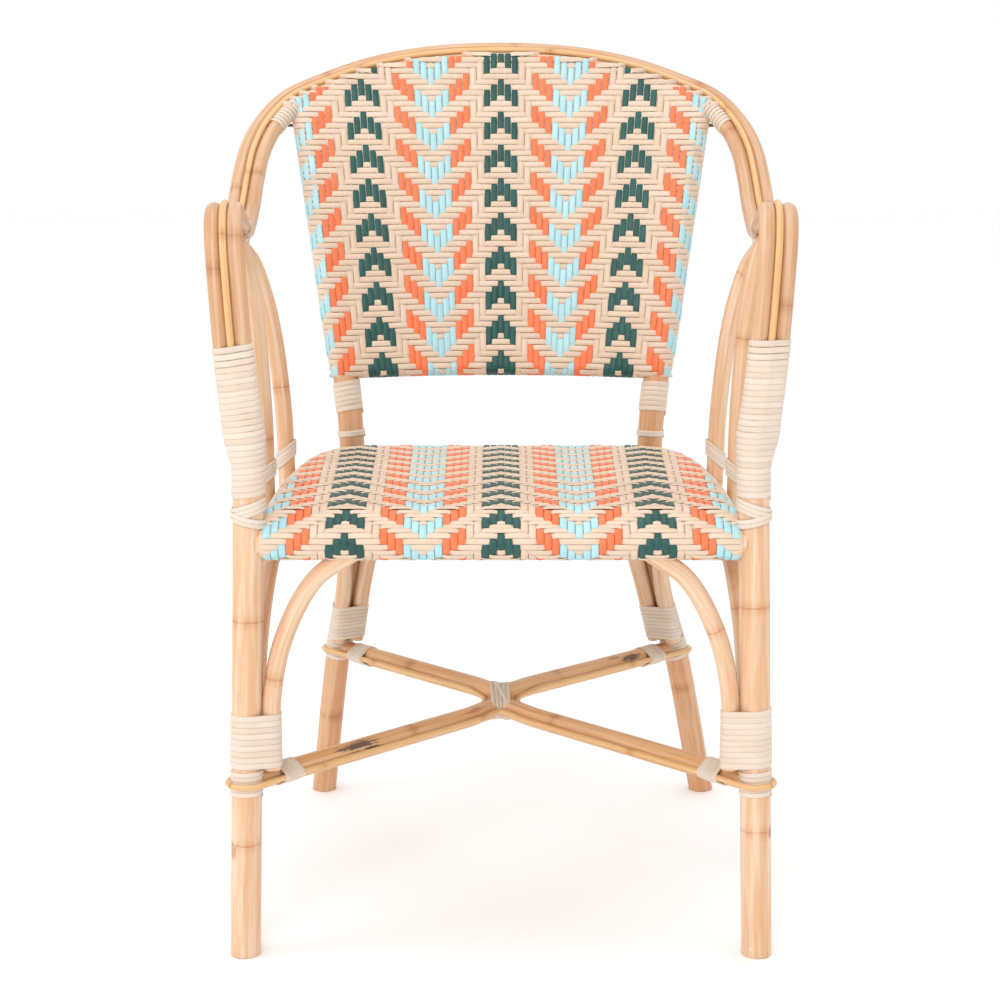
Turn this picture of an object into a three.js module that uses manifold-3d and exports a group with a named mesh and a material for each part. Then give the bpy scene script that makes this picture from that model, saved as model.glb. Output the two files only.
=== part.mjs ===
// Rattan cafe armchair: bent rattan poles bound with peel, with a twill woven seat and back.
// Millimetres, +Z up, the front of the chair towards -Y. The line of the front legs is y = 0
// while the chair is made, and the finished chair is moved so that the origin lies on the
// floor under the middle of its outline.

import * as THREE from 'three';
import { mergeVertices } from 'three/addons/utils/BufferGeometryUtils.js';
import Module from 'manifold-3d';

const wasm = await Module();
wasm.setup();

// Overall sizes
const seatHeight = 439.6;
const armRise = 274.4;
const hoopRise = 152;
const hoopDepth = 547;
const hoopHalfWidth = 279.5;
const armHeight = seatHeight + armRise;
const hoopHeight = armHeight + hoopRise;

// Front legs
const frontLegRadius = 14.7;
const frontLegInset = 45.5;
const frontLegSplay = 14.3;
const frontLegTopX = hoopHalfWidth - frontLegInset;
const frontFootX = frontLegTopX + frontLegSplay;
const legTopRise = 60.4;
const frontLegHeight = seatHeight + legTopRise;

// Seat bow
const bowRadius = 12;
const bowInset = 22;
const bowHalfWidth = frontLegTopX - bowInset;
const bowRearY = 373;

// Rear legs, which run on as the side stiles of the back
const rearLegRadius = 14;
const waistInset = 44.6;
const rearFootSplay = 45.6;
const waistX = bowHalfWidth - waistInset;
const rearFootX = waistX + rearFootSplay;
const rearFootY = 490;
const rightFootExtraSplay = 28;
const waistY = 400;
const waistRise = 0.4;
const waistHeight = seatHeight + waistRise;
const stileTopInset = 55.5;
const stileTopX = hoopHalfWidth - stileTopInset;

// Hoop and arm canes
const outerCaneRadius = 8;
const innerCaneRadius = 8.5;
const binderRadius = 3.4;
const caneSpacing = 19.5;
const armPostOffset = 4;
const hoopTilt = THREE.MathUtils.degToRad(50);

// Front rails of the seat
const lowerRailRadius = 14;
const upperRailRadius = 12;
const frontRollRadius = 43;
const frontRollSetback = 22;

// Back lower rail
const backRailRadius = 9;
const backRailRise = 80.4;
const backRailHeight = seatHeight + backRailRise;
const backRailBow = 30;

// Weave
const weaveThickness = 3;
const sheetThickness = 3.2;

// Arm loops
const loopRadius = 9;
const loopFrontY = 145;
const loopRearY = 265;
const loopFootDrop = 26;

// Braces
const braceRadius = 9;

// Stretchers
const stretcherRadius = 10.5;
const frontStretcherHeight = 175;
const rearStretcherRise = 11;
const rearStretcherHeight = frontStretcherHeight + rearStretcherRise;
const stretcherCentreY = 252;
const thinCaneRadius = 3;
const screwRadius = 2.2;
const screwLength = 38;

// Peel bindings
const peelThickness = 1.3;
const peelWidth = 4.9;
const peelGap = 0.7;
const armWrapRise = 12.4;
const armWrapLow = seatHeight + armWrapRise;
const armWrapTurns = 24;
const frontWrapRise = 16;
const frontWrapLow = frontStretcherHeight + frontWrapRise;
const frontWrapTurns = 9;
const rearWrapRise = 20;
const rearWrapLow = rearStretcherHeight + rearWrapRise;
const rearWrapLength = 40;
const stileWrapRise = 31.4;
const stileWrapLow = seatHeight + stileWrapRise;
const stileWrapLength = 34;
const endWrapLength = 24;
const endWrapReach = 46;
const centreWrapLength = 25;
const cornerWrapLength = 30;
const frontKnotDrop = 15.6;
const frontKnotLow = seatHeight - frontKnotDrop;
const frontKnotLength = 24;
const loopKnotLength = 22;
const stileKnotLength = 9;
const armTieLength = 9;
const armTieShare = 0.3;
const knotThickness = 2;

// Clearances and counts
const clearance = 0.3;
const overrun = 20;
const turnSteps = 10;
const poleSides = 10;
const caneSides = 8;
const thinSides = 5;
const bandSides = 10;

const colours = {
  pole: { color: 0xeec49a, roughness: 0.5, metalness: 0 },
  peel: { color: 0xf0e2ce, roughness: 0.6, metalness: 0 },
  weave: { color: 0xecd4b8, roughness: 0.55, metalness: 0 },
  steel: { color: 0xb8b8b4, roughness: 0.4, metalness: 1 },
};

const chair = new THREE.Group();
const point = (x, y, z) => new THREE.Vector3(x, y, z);
const mix = THREE.MathUtils.lerp;
const smoothCurve = (points) => new THREE.CatmullRomCurve3(points, false, 'centripetal');
const mirrored = (v) => point(-v.x, v.y, v.z);

// A closed mesh becomes a solid for joining and cutting, and comes back as a geometry.
function solidOf(geometry) {
  const bare = geometry.clone();
  bare.deleteAttribute('normal');
  bare.deleteAttribute('uv');
  const merged = mergeVertices(bare);
  return new wasm.Manifold(new wasm.Mesh({
    numProp: 3,
    vertProperties: new Float32Array(merged.attributes.position.array),
    triVerts: new Uint32Array(merged.index.array),
  }));
}

function geometryOf(solid) {
  const mesh = solid.getMesh();
  const geometry = new THREE.BufferGeometry();
  geometry.setAttribute('position', new THREE.BufferAttribute(mesh.vertProperties, 3));
  geometry.setIndex(new THREE.BufferAttribute(mesh.triVerts, 1));
  return geometry;
}

// Own points and faces, for a sheet or a strip. Each face has four corners in turn.
function facesOf(positions, quads) {
  const geometry = new THREE.BufferGeometry();
  geometry.setAttribute('position', new THREE.Float32BufferAttribute(positions, 3));
  geometry.setIndex(quads.flatMap(([a, b, c, d]) => [a, b, c, a, c, d]));
  return geometry;
}

function addPiece(name, geometry, colour) {
  const mesh = new THREE.Mesh(geometry, new THREE.MeshStandardMaterial(colour));
  mesh.name = name;
  chair.add(mesh);
}

// A pole or cane is a round section along a curve.
function makePole(curve, radius, sides, steps) {
  return { curve, radius, sides, steps };
}

function poleGeometry(pole, extra = 0) {
  const ring = [];
  for (let i = 0; i < pole.sides; i += 1) {
    const angle = (2 * Math.PI * i) / pole.sides;
    const reach = pole.radius + extra;
    ring.push(new THREE.Vector2(reach * Math.cos(angle), reach * Math.sin(angle)));
  }
  const settings = { steps: pole.steps, bevelEnabled: false, extrudePath: pole.curve };
  return new THREE.ExtrudeGeometry(new THREE.Shape(ring), settings);
}

const poleSolid = (pole, extra = 0) => solidOf(poleGeometry(pole, extra));

function cutBy(solid, cutters) {
  return cutters.reduce((rest, cutter) => rest.subtract(cutter), solid);
}

function boxSolid(low, high) {
  const size = high.clone().sub(low);
  const middle = high.clone().add(low).multiplyScalar(1 / 2);
  const geometry = new THREE.BoxGeometry(size.x, size.y, size.z);
  return solidOf(geometry.translate(middle.x, middle.y, middle.z));
}

// Everything between two heights, which trims a foot or a top flat.
const levelBlock = (from, to) => boxSolid(
  point(-2 * hoopHalfWidth, -hoopDepth, from),
  point(2 * hoopHalfWidth, 2 * hoopDepth, to),
);
const floorBlock = levelBlock(-2 * overrun, 0);
const aboveLegBlock = levelBlock(frontLegHeight, frontLegHeight + 2 * overrun);
const belowArmBlock = levelBlock(frontLegHeight - 2 * overrun, frontLegHeight + clearance);

// Front legs: straight poles that lean in a little towards the arms.
const frontLegX = (z) => mix(frontFootX, frontLegTopX, z / frontLegHeight);

function frontLeg(side) {
  const foot = point(side * frontLegX(-overrun), 0, -overrun);
  const top = point(side * frontLegX(frontLegHeight + overrun), 0, frontLegHeight + overrun);
  return makePole(new THREE.LineCurve3(foot, top), frontLegRadius, poleSides, 2);
}

const frontLegs = { left: frontLeg(-1), right: frontLeg(1) };

// Hoop: the two long canes run from one arm post over the arm, round the back and down again.
// Shares of the arm: across from the post to the widest place, back, and up from the post foot.
const armShares = [
  [-0.035, 0, -0.08],
  [0, 0, 0],
  [0.096, -0.002, 0.21],
  [0.205, -0.0055, 0.435],
  [0.289, -0.009, 0.701],
  [0.337, -0.0055, 0.864],
  [0.386, 0.022, 0.963],
  [0.434, 0.0695, 1],
  [0.53, 0.1554, 0.972],
  [0.639, 0.2651, 0.925],
  [0.771, 0.3931, 0.869],
  [0.867, 0.4845, 0.85],
  [0.952, 0.585, 0.874],
];
// Shares of the back: of the half width, of the depth, up from the arm, and of the tilt.
const backShares = [
  [1, 0.6856, -0.066, 0],
  [0.9982, 0.7678, 0.125, 0.1],
  [0.9839, 0.8263, 0.303, 0.25],
  [0.941, 0.8775, 0.48, 0.45],
  [0.8515, 0.9214, 0.658, 0.65],
  [0.712, 0.9506, 0.776, 0.8],
  [0.5224, 0.9744, 0.895, 0.9],
  [0.2898, 0.9927, 0.974, 0.97],
];

const postX = frontLegTopX + armPostOffset;
const postFoot = frontLegHeight + clearance;
const armPoints = armShares.map(([across, back, up]) => ({
  place: point(mix(postX, hoopHalfWidth, across), hoopDepth * back, mix(postFoot, armHeight, up)),
  tilt: 0,
}));
const backPoints = backShares.map(([across, back, up, tilt]) => ({
  place: point(hoopHalfWidth * across, hoopDepth * back, mix(armHeight, hoopHeight, up)),
  tilt,
}));
const rightHalf = [...armPoints, ...backPoints];
const leftHalf = rightHalf.map(({ place, tilt }) => ({ place: mirrored(place), tilt })).reverse();
const hoopPoints = [...rightHalf, { place: point(0, hoopDepth, hoopHeight), tilt: 1 }, ...leftHalf];
const hoopCentre = smoothCurve(hoopPoints.map(({ place }) => place));

// At each place of the hoop: outward is the way from the inner to the outer cane, and over is
// the side that the binder lies on.
function hoopFrames() {
  return hoopPoints.map(({ place, tilt }, i) => {
    const along = hoopCentre.getTangent(i / (hoopPoints.length - 1));
    const side = place.x > 0 ? 1 : -1;
    const flat = point(side * (1 - tilt), 0, 0);
    const raised = point(0, tilt * Math.sin(hoopTilt), tilt * Math.cos(hoopTilt));
    const outward = flat.add(raised);
    outward.addScaledVector(along, -outward.dot(along)).normalize();
    const over = outward.clone().cross(along).normalize();
    return { place, outward, over };
  });
}

const frames = hoopFrames();
const binderLift = Math.sqrt(
  (innerCaneRadius + binderRadius + clearance) ** 2 - (caneSpacing / 2) ** 2,
);
const hoopSteps = 50;

function hoopCane(outwardBy, overBy, radius, sides) {
  const places = frames.map(({ place, outward, over }) => place.clone()
    .addScaledVector(outward, outwardBy).addScaledVector(over, overBy));
  return makePole(smoothCurve(places), radius, sides, hoopSteps);
}

const outerCane = hoopCane(caneSpacing / 2, 0, outerCaneRadius, caneSides);
const innerCane = hoopCane(-caneSpacing / 2, 0, innerCaneRadius, caneSides);
const binderCane = hoopCane(0, binderLift, binderRadius, thinSides);

addPiece('hoop_outer_cane', geometryOf(cutBy(poleSolid(outerCane), [belowArmBlock])), colours.pole);
addPiece('hoop_inner_cane', geometryOf(cutBy(poleSolid(innerCane), [belowArmBlock])), colours.pole);
addPiece('hoop_binder_cane', geometryOf(cutBy(poleSolid(binderCane), [belowArmBlock])), colours.pole);

for (const [sideName, leg] of Object.entries(frontLegs)) {
  const trimmed = cutBy(poleSolid(leg), [floorBlock, aboveLegBlock]);
  addPiece(`front_leg_${sideName}`, geometryOf(trimmed), colours.pole);
}

// The share of a curve at which its x, y or z is nearest to a given value.
const searchSteps = 400;

function shareWhere(curve, key, value, from = 0, to = 1) {
  let best = from;
  let least = Infinity;
  for (let i = 0; i <= searchSteps; i += 1) {
    const share = mix(from, to, i / searchSteps);
    const miss = Math.abs(curve.getPointAt(share)[key] - value);
    if (miss < least) {
      best = share;
      least = miss;
    }
  }
  return best;
}

const placeWhere = (curve, key, value, from, to) => curve.getPointAt(shareWhere(curve, key, value, from, to));
const legPlaceAt = (leg, z) => placeWhere(leg.curve, 'z', z);

// Rear legs: one bent pole each, from the foot past the seat to the hoop.
// Shares down from the waist to the foot: outward, back and down.
const lowerLegShares = [
  [1, 1, 1],
  [0.531, 0.578, 0.607],
  [0.21, 0.378, 0.409],
  [0.035, 0.167, 0.205],
];
// Shares up from the waist to the hoop: outward, back and up.
const stileShares = [
  [0.113, 0.068, 0.186],
  [0.275, 0.175, 0.333],
  [0.505, 0.398, 0.558],
  [0.684, 0.592, 0.725],
  [0.906, 0.874, 0.925],
  [1, 1, 1],
];
const widestFrom = shareWhere(innerCane.curve, 'y', backPoints[0].place.y, 0, 1 / 2);
const topFrom = shareWhere(innerCane.curve, 'x', stileTopX, widestFrom, 1 / 2);
const stileTop = innerCane.curve.getPointAt(topFrom);
const canePitch = innerCane.curve.getTangentAt(topFrom);
stileTop.y += rearLegRadius - innerCaneRadius;
stileTop.z -= rearLegRadius * Math.abs(canePitch.z / canePitch.x);
const rearLegSteps = 16;
const footOverrunShare = overrun / waistHeight;

function rearLeg(side, extraSplay) {
  const footX = rearFootX + extraSplay;
  const lower = lowerLegShares.map(([out, back, down]) => {
    const splay = waistX + (footX - waistX) * out;
    return point(side * splay, mix(waistY, rearFootY, back), waistHeight * (1 - down));
  });
  const beyond = lower[0].clone().add(
    lower[0].clone().sub(lower[1]).multiplyScalar(footOverrunShare),
  );
  const upper = stileShares.map(([out, back, up]) => point(
    side * mix(waistX, stileTop.x, out),
    mix(waistY, stileTop.y, back),
    mix(waistHeight, stileTop.z, up),
  ));
  const places = [beyond, ...lower, point(side * waistX, waistY, waistHeight), ...upper];
  return makePole(smoothCurve(places), rearLegRadius, poleSides, rearLegSteps);
}

const rearLegs = { left: rearLeg(-1, 0), right: rearLeg(1, rightFootExtraSplay) };
const innerCaneCutter = poleSolid(innerCane, clearance);
const outerCaneCutter = poleSolid(outerCane, clearance);
const binderCutter = poleSolid(binderCane, clearance);

for (const [sideName, leg] of Object.entries(rearLegs)) {
  const trimmed = cutBy(poleSolid(leg), [floorBlock, innerCaneCutter, outerCaneCutter, binderCutter]);
  addPiece(`rear_leg_${sideName}`, geometryOf(trimmed), colours.pole);
}

// A thin slice beyond the top of a rear leg, so that what is cut by the leg also clears its end.
function endRoom(leg) {
  const top = leg.curve.getPoint(1);
  const along = leg.curve.getTangent(1).multiplyScalar(clearance);
  return poleSolid(straightPole(top.clone().sub(along), top.add(along), leg.radius, poleSides), clearance);
}

const legCutters = [
  ...[...Object.values(frontLegs), ...Object.values(rearLegs)].map((leg) => poleSolid(leg, clearance)),
  ...Object.values(rearLegs).map(endRoom),
];

// Seat frame: two front rails that the weave rolls over, and a bow for the sides and the rear.
const railTop = seatHeight - sheetThickness - clearance;
const upperRailHeight = railTop - upperRailRadius;
const rollCentreHeight = seatHeight - frontRollRadius;
const rollInnerRadius = frontRollRadius - sheetThickness;
const lowerRailAngle = THREE.MathUtils.degToRad(150);
const lowerRailReach = rollInnerRadius - lowerRailRadius - clearance;
const lowerRailY = frontRollSetback + lowerRailReach * Math.cos(lowerRailAngle);
const lowerRailHeight = rollCentreHeight + lowerRailReach * Math.sin(lowerRailAngle);
const railHalfLength = frontLegX(seatHeight) - frontLegRadius / 2;

function straightPole(from, to, radius, sides) {
  return makePole(new THREE.LineCurve3(from, to), radius, sides, 1);
}

const lowerRail = straightPole(
  point(-railHalfLength, lowerRailY, lowerRailHeight),
  point(railHalfLength, lowerRailY, lowerRailHeight),
  lowerRailRadius,
  poleSides,
);
const upperRail = straightPole(
  point(-bowHalfWidth, frontRollSetback, upperRailHeight),
  point(bowHalfWidth, frontRollSetback, upperRailHeight),
  upperRailRadius,
  poleSides,
);

// Shares of the bow: of its half width, and back from the upper rail to the rear.
const bowShares = [
  [0.995, 0],
  [1, 0.22],
  [0.996, 0.35],
  [0.977, 0.535],
  [0.953, 0.692],
  [0.91, 0.835],
  [0.83, 0.94],
  [0.707, 0.992],
  [0.47, 1],
];
const bowHeight = railTop - bowRadius;
const bowHalf = bowShares.map(([across, back]) => point(
  bowHalfWidth * across,
  mix(frontRollSetback, bowRearY, back),
  bowHeight,
));
const bowSteps = 22;
const bow = makePole(
  smoothCurve([...bowHalf, point(0, bowRearY, bowHeight), ...bowHalf.map(mirrored).reverse()]),
  bowRadius,
  caneSides,
  bowSteps,
);
const upperRailCutter = poleSolid(upperRail, clearance);
const lowerRailCutter = poleSolid(lowerRail, clearance);
const bowCutter = poleSolid(bow, clearance);
const lowerRailSolid = cutBy(poleSolid(lowerRail), [...legCutters, upperRailCutter]);
addPiece('seat_front_rail_lower', geometryOf(lowerRailSolid), colours.pole);
addPiece('seat_front_rail_upper', geometryOf(cutBy(poleSolid(upperRail), legCutters)), colours.pole);
addPiece('seat_bow', geometryOf(cutBy(poleSolid(bow), [upperRailCutter, ...legCutters])), colours.pole);

// Arm loops: one cane each, up from the seat bow, along under the arm and down again.
const bowPlaceAt = (y) => placeWhere(bow.curve, 'y', y, 0, 1 / 2);
const armPlaceAt = (y) => placeWhere(innerCane.curve, 'y', y, 0, 1 / 2);

const loopStandOff = bowRadius + weaveThickness + loopRadius + clearance;
const loopUnderArm = innerCaneRadius + loopRadius + clearance;
// Shares of the loop: along from front to rear, out to the arm, and up to the arm.
const loopShares = [
  [0, 0, 0],
  [0, 0.03, 0.35],
  [0, 0.36, 0.75],
  [0.03, 0.72, 0.93],
  [0.16, 0.95, 0.995],
  [0.5, 1, 1],
  [0.84, 0.95, 0.995],
  [0.97, 0.72, 0.93],
  [1, 0.36, 0.72],
  [1, 0.08, 0.35],
  [1, 0, 0],
];
const loopSteps = 18;

function armLoop(side) {
  const places = loopShares.map(([along, out, up]) => {
    const y = mix(loopFrontY, loopRearY, along);
    const foot = bowPlaceAt(y);
    const arm = armPlaceAt(y);
    const footX = foot.x + loopStandOff;
    const topX = arm.x + innerCaneRadius / 2;
    return point(
      side * mix(footX, topX, out),
      y,
      mix(seatHeight - loopFootDrop, arm.z - loopUnderArm, up),
    );
  });
  return makePole(smoothCurve(places), loopRadius, caneSides, loopSteps);
}

const armLoops = { left: armLoop(-1), right: armLoop(1) };
const loopCutters = Object.values(armLoops).map((loop) => poleSolid(loop, clearance));
for (const [sideName, loop] of Object.entries(armLoops)) {
  const trimmed = cutBy(poleSolid(loop), [innerCaneCutter, outerCaneCutter]);
  addPiece(`arm_loop_${sideName}`, geometryOf(trimmed), colours.pole);
}

// Seat weave: a flat sheet, a roll over the front rails and a wrap round the bow.
function seatOutline() {
  const reach = bowRadius + weaveThickness;
  const places = bow.curve.getSpacedPoints(bowSteps);
  const count = places.length;
  return places.map((place, i) => {
    const along = bow.curve.getTangentAt(i / (count - 1));
    return new THREE.Vector2(place.x + along.y * reach, place.y - along.x * reach);
  });
}

const sheetShape = new THREE.Shape(seatOutline());
const sheet = new THREE.ExtrudeGeometry(sheetShape, { depth: sheetThickness, bevelEnabled: false });
sheet.translate(0, 0, seatHeight - sheetThickness);

const rollSteps = 6;
const rollHalfLength = bowHalfWidth + bowRadius + weaveThickness;

function rollProfile() {
  const outer = [];
  const inner = [];
  for (let i = 0; i <= rollSteps; i += 1) {
    const angle = (Math.PI / 2) * (1 + i / rollSteps);
    const cos = Math.cos(angle);
    const sin = Math.sin(angle);
    outer.push(new THREE.Vector2(
      frontRollSetback + frontRollRadius * cos,
      rollCentreHeight + frontRollRadius * sin,
    ));
    inner.unshift(new THREE.Vector2(
      frontRollSetback + rollInnerRadius * cos,
      rollCentreHeight + rollInnerRadius * sin,
    ));
  }
  return new THREE.Shape([...outer, ...inner]);
}

const roll = new THREE.ExtrudeGeometry(rollProfile(), { depth: 2 * rollHalfLength, bevelEnabled: false });
roll.applyMatrix4(new THREE.Matrix4().makeBasis(point(0, 1, 0), point(0, 0, 1), point(1, 0, 0)));
roll.translate(-rollHalfLength, 0, 0);

const rollRail = straightPole(
  point(-rollHalfLength, lowerRailY, lowerRailHeight),
  point(rollHalfLength, lowerRailY, lowerRailHeight),
  lowerRailRadius + weaveThickness,
  poleSides,
);
const longLowerRail = { ...lowerRail, curve: rollRail.curve };
const flatShare = Math.cos(Math.PI / bandSides) ** 2;
const knotRoom = (frontLegRadius + knotThickness + 3 * clearance) / flatShare - frontLegRadius;
const frontKnotCutters = Object.values(frontLegs).map((leg) => cutBy(poleSolid(leg, knotRoom), [
  levelBlock(-2 * overrun, frontKnotLow - clearance),
  levelBlock(frontKnotLow + frontKnotLength + clearance, frontLegHeight + 2 * overrun),
]));
const wrappedBow = poleSolid(bow, weaveThickness);
const seatWeave = cutBy(
  solidOf(sheet).add(solidOf(roll)).add(poleSolid(rollRail)).add(wrappedBow),
  [
    poleSolid(longLowerRail, clearance),
    upperRailCutter,
    bowCutter,
    ...legCutters,
    ...loopCutters,
    ...frontKnotCutters,
  ],
);
addPiece('seat_weave', geometryOf(seatWeave), colours.weave);
const seatSkinExtra = weaveThickness + clearance;
const seatSkinCutters = [
  poleSolid(bow, seatSkinExtra),
  poleSolid(rollRail, clearance),
];

// Back lower rail: bowed to the rear, between the stiles.
const railEnd = legPlaceAt(rearLegs.right, backRailHeight);
const railFront = railEnd.y - rearLegRadius + backRailRadius;
// Shares of the half length of the rail, from its left end to its right end.
const backRailShares = [-1, -0.5, 0, 0.5, 1];
const backRailHalf = railEnd.x - rearLegRadius / 2;
const backRailPlace = (share) => point(
  backRailHalf * share,
  railFront + backRailBow * (1 - share * share),
  backRailHeight,
);
const backRailSteps = 8;
const backRail = makePole(
  smoothCurve(backRailShares.map(backRailPlace)),
  backRailRadius,
  caneSides,
  backRailSteps,
);
addPiece('back_lower_rail', geometryOf(cutBy(poleSolid(backRail), legCutters)), colours.pole);

// Back weave: a sheet in front of the poles, wrapped round the stiles, the rail and the inner cane.
const sheetColumns = 8;
const sheetRows = 4;

function partOfCurve(curve, from, to, count) {
  const places = [];
  for (let i = 0; i <= count; i += 1) {
    places.push(curve.getPointAt(mix(from, to, i / count)));
  }
  return smoothCurve(places);
}

const topSteps = 8;
const topCurve = partOfCurve(innerCane.curve, topFrom, 1 - topFrom, topSteps);
const topSection = makePole(topCurve, innerCaneRadius, caneSides, topSteps);
const stileBottomZ = backRailHeight - backRailRadius - weaveThickness;

const stileSectionSteps = 4;

function stileSection(leg) {
  const from = shareWhere(leg.curve, 'z', stileBottomZ);
  const to = shareWhere(leg.curve, 'z', stileTop.z);
  const places = partOfCurve(leg.curve, from, to, stileSectionSteps);
  return makePole(places, rearLegRadius, poleSides, stileSectionSteps);
}

const stileSections = { left: stileSection(rearLegs.left), right: stileSection(rearLegs.right) };

// How far the stiles bend forward of a straight line from the rail to the hoop.
function stileSag(z) {
  if (z >= stileTop.z) {
    return 0;
  }
  const up = (z - backRailHeight) / (stileTop.z - backRailHeight);
  return legPlaceAt(rearLegs.right, z).y - mix(railEnd.y, stileTop.y, up);
}

function backSheet() {
  const positions = [];
  const quads = [];
  const across = sheetColumns + 1;
  const layer = across * (sheetRows + 1);
  for (const setback of [0, sheetThickness]) {
    for (let row = 0; row <= sheetRows; row += 1) {
      for (let column = 0; column <= sheetColumns; column += 1) {
        const share = mix(1, -1, column / sheetColumns);
        const low = backRailPlace(share);
        const high = topCurve.getPoint(column / sheetColumns);
        const lowFront = low.y - backRailRadius - weaveThickness;
        const highFront = high.y - innerCaneRadius - weaveThickness;
        const up = row / sheetRows;
        const z = mix(low.z, high.z, up);
        const y = mix(lowFront, highFront, up) + stileSag(z) * share * share + setback;
        positions.push(mix(low.x, high.x, up), y, z);
      }
    }
  }
  for (let row = 0; row < sheetRows; row += 1) {
    for (let column = 0; column < sheetColumns; column += 1) {
      const a = row * across + column;
      quads.push([a, a + across, a + across + 1, a + 1]);
      quads.push([layer + a, layer + a + 1, layer + a + across + 1, layer + a + across]);
    }
  }
  for (let column = 0; column < sheetColumns; column += 1) {
    const b = sheetRows * across + column;
    quads.push([column, column + 1, layer + column + 1, layer + column]);
    quads.push([b, layer + b, layer + b + 1, b + 1]);
  }
  for (let row = 0; row < sheetRows; row += 1) {
    const a = row * across;
    const b = a + sheetColumns;
    quads.push([a, layer + a, layer + a + across, a + across]);
    quads.push([b, b + across, layer + b + across, layer + b]);
  }
  return facesOf(positions, quads);
}

const backRailCutter = poleSolid(backRail, clearance);
const backWeave = cutBy(
  solidOf(backSheet())
    .add(poleSolid(topSection, weaveThickness))
    .add(poleSolid(backRail, weaveThickness))
    .add(poleSolid(stileSections.left, weaveThickness))
    .add(poleSolid(stileSections.right, weaveThickness)),
  [backRailCutter, innerCaneCutter, outerCaneCutter, binderCutter, ...legCutters],
);
addPiece('back_weave', geometryOf(backWeave), colours.weave);

// Stretchers: two bent poles that touch at the middle of the cross.
const centreHalfGap = Math.sqrt(
  (stretcherRadius + clearance / 2) ** 2 - ((rearStretcherHeight - frontStretcherHeight) / 2) ** 2,
);
// Shares from the leg to the middle.
const stretcherShares = [0, 0.3, 0.6, 0.84];
const bendShare = 0.985;
const stretcherSteps = 24;

function stretcher(leftLeg, rightLeg, height, centreY) {
  const centre = point(0, centreY, height);
  const half = (leg) => {
    const start = legPlaceAt(leg, height);
    return stretcherShares.map((share) => start.clone().lerp(centre, share));
  };
  const middle = centre.clone();
  middle.y = mix(stretcherCentreY, centreY, bendShare);
  const places = [...half(leftLeg), middle, ...half(rightLeg).reverse()];
  return makePole(smoothCurve(places), stretcherRadius, caneSides, stretcherSteps);
}

const frontStretcher = stretcher(
  frontLegs.left,
  frontLegs.right,
  frontStretcherHeight,
  stretcherCentreY - centreHalfGap,
);
const rearStretcher = stretcher(
  rearLegs.left,
  rearLegs.right,
  rearStretcherHeight,
  stretcherCentreY + centreHalfGap,
);

const screwDirection = point(
  0,
  2 * centreHalfGap,
  rearStretcherHeight - frontStretcherHeight,
).normalize();
const screwMiddle = point(0, stretcherCentreY, (frontStretcherHeight + rearStretcherHeight) / 2);

function screwPole(extra) {
  const from = screwMiddle.clone().addScaledVector(screwDirection, -screwLength / 2 - extra);
  const to = screwMiddle.clone().addScaledVector(screwDirection, screwLength / 2 + extra);
  return straightPole(from, to, screwRadius + extra, caneSides);
}

const screwCutter = poleSolid(screwPole(clearance));
const frontStretcherCutter = poleSolid(frontStretcher, clearance);
addPiece(
  'stretcher_front',
  geometryOf(cutBy(poleSolid(frontStretcher), [...legCutters, screwCutter])),
  colours.pole,
);
addPiece(
  'stretcher_rear',
  geometryOf(cutBy(poleSolid(rearStretcher), [...legCutters, screwCutter, frontStretcherCutter])),
  colours.pole,
);
addPiece('stretcher_screw', poleGeometry(screwPole(0)), colours.steel);

// Thin canes: one in each gap of the cross, laid against the stretchers and round the legs.
const thinReach = stretcherRadius + thinCaneRadius + 2 * clearance;
// Turns round the leg, as shares of a right angle away from the outermost side of the leg.
const roundLegShares = [0.04, 0.3, 0.6, 0.9, 1.2];
// Shares of the stretcher from the leg to the middle.
const alongShares = [0.24, 0.45, 0.66, 0.86];
const thinSteps = 28;

// One end: round the leg, then along the stretcher on the side of the gap.
function thinCaneHalf(leg, pole, height, fromLeft, other) {
  const start = legPlaceAt(leg, height);
  const across = legPlaceAt(other, height).sub(start);
  const shareOn = (share) => (fromLeft ? share : 2 - share) / 2;
  const sidewaysAt = (share) => {
    const along = pole.curve.getTangentAt(shareOn(share));
    const sideways = point(-along.y, along.x, 0).normalize();
    return sideways.multiplyScalar(Math.sign(sideways.dot(across)));
  };
  const towards = pole.curve.getPointAt(shareOn(alongShares[0])).sub(start).setZ(0).normalize();
  const legReach = leg.radius + thinCaneRadius + clearance;
  const round = roundLegShares.map((share) => {
    const angle = share * (Math.PI / 2);
    return start.clone()
      .addScaledVector(towards, -legReach * Math.cos(angle))
      .addScaledVector(sidewaysAt(0), legReach * Math.sin(angle));
  });
  const along = alongShares.map((share) => pole.curve.getPointAt(shareOn(share))
    .addScaledVector(sidewaysAt(share), thinReach));
  return [...round, ...along];
}

function thinCane(ends, middle) {
  const [first, last] = ends.map(([leg, pole, height, fromLeft], i) => (
    thinCaneHalf(leg, pole, height, fromLeft, ends[1 - i][0])
  ));
  return makePole(smoothCurve([...first, middle, ...last.reverse()]), thinCaneRadius, thinSides, thinSteps);
}

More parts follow.
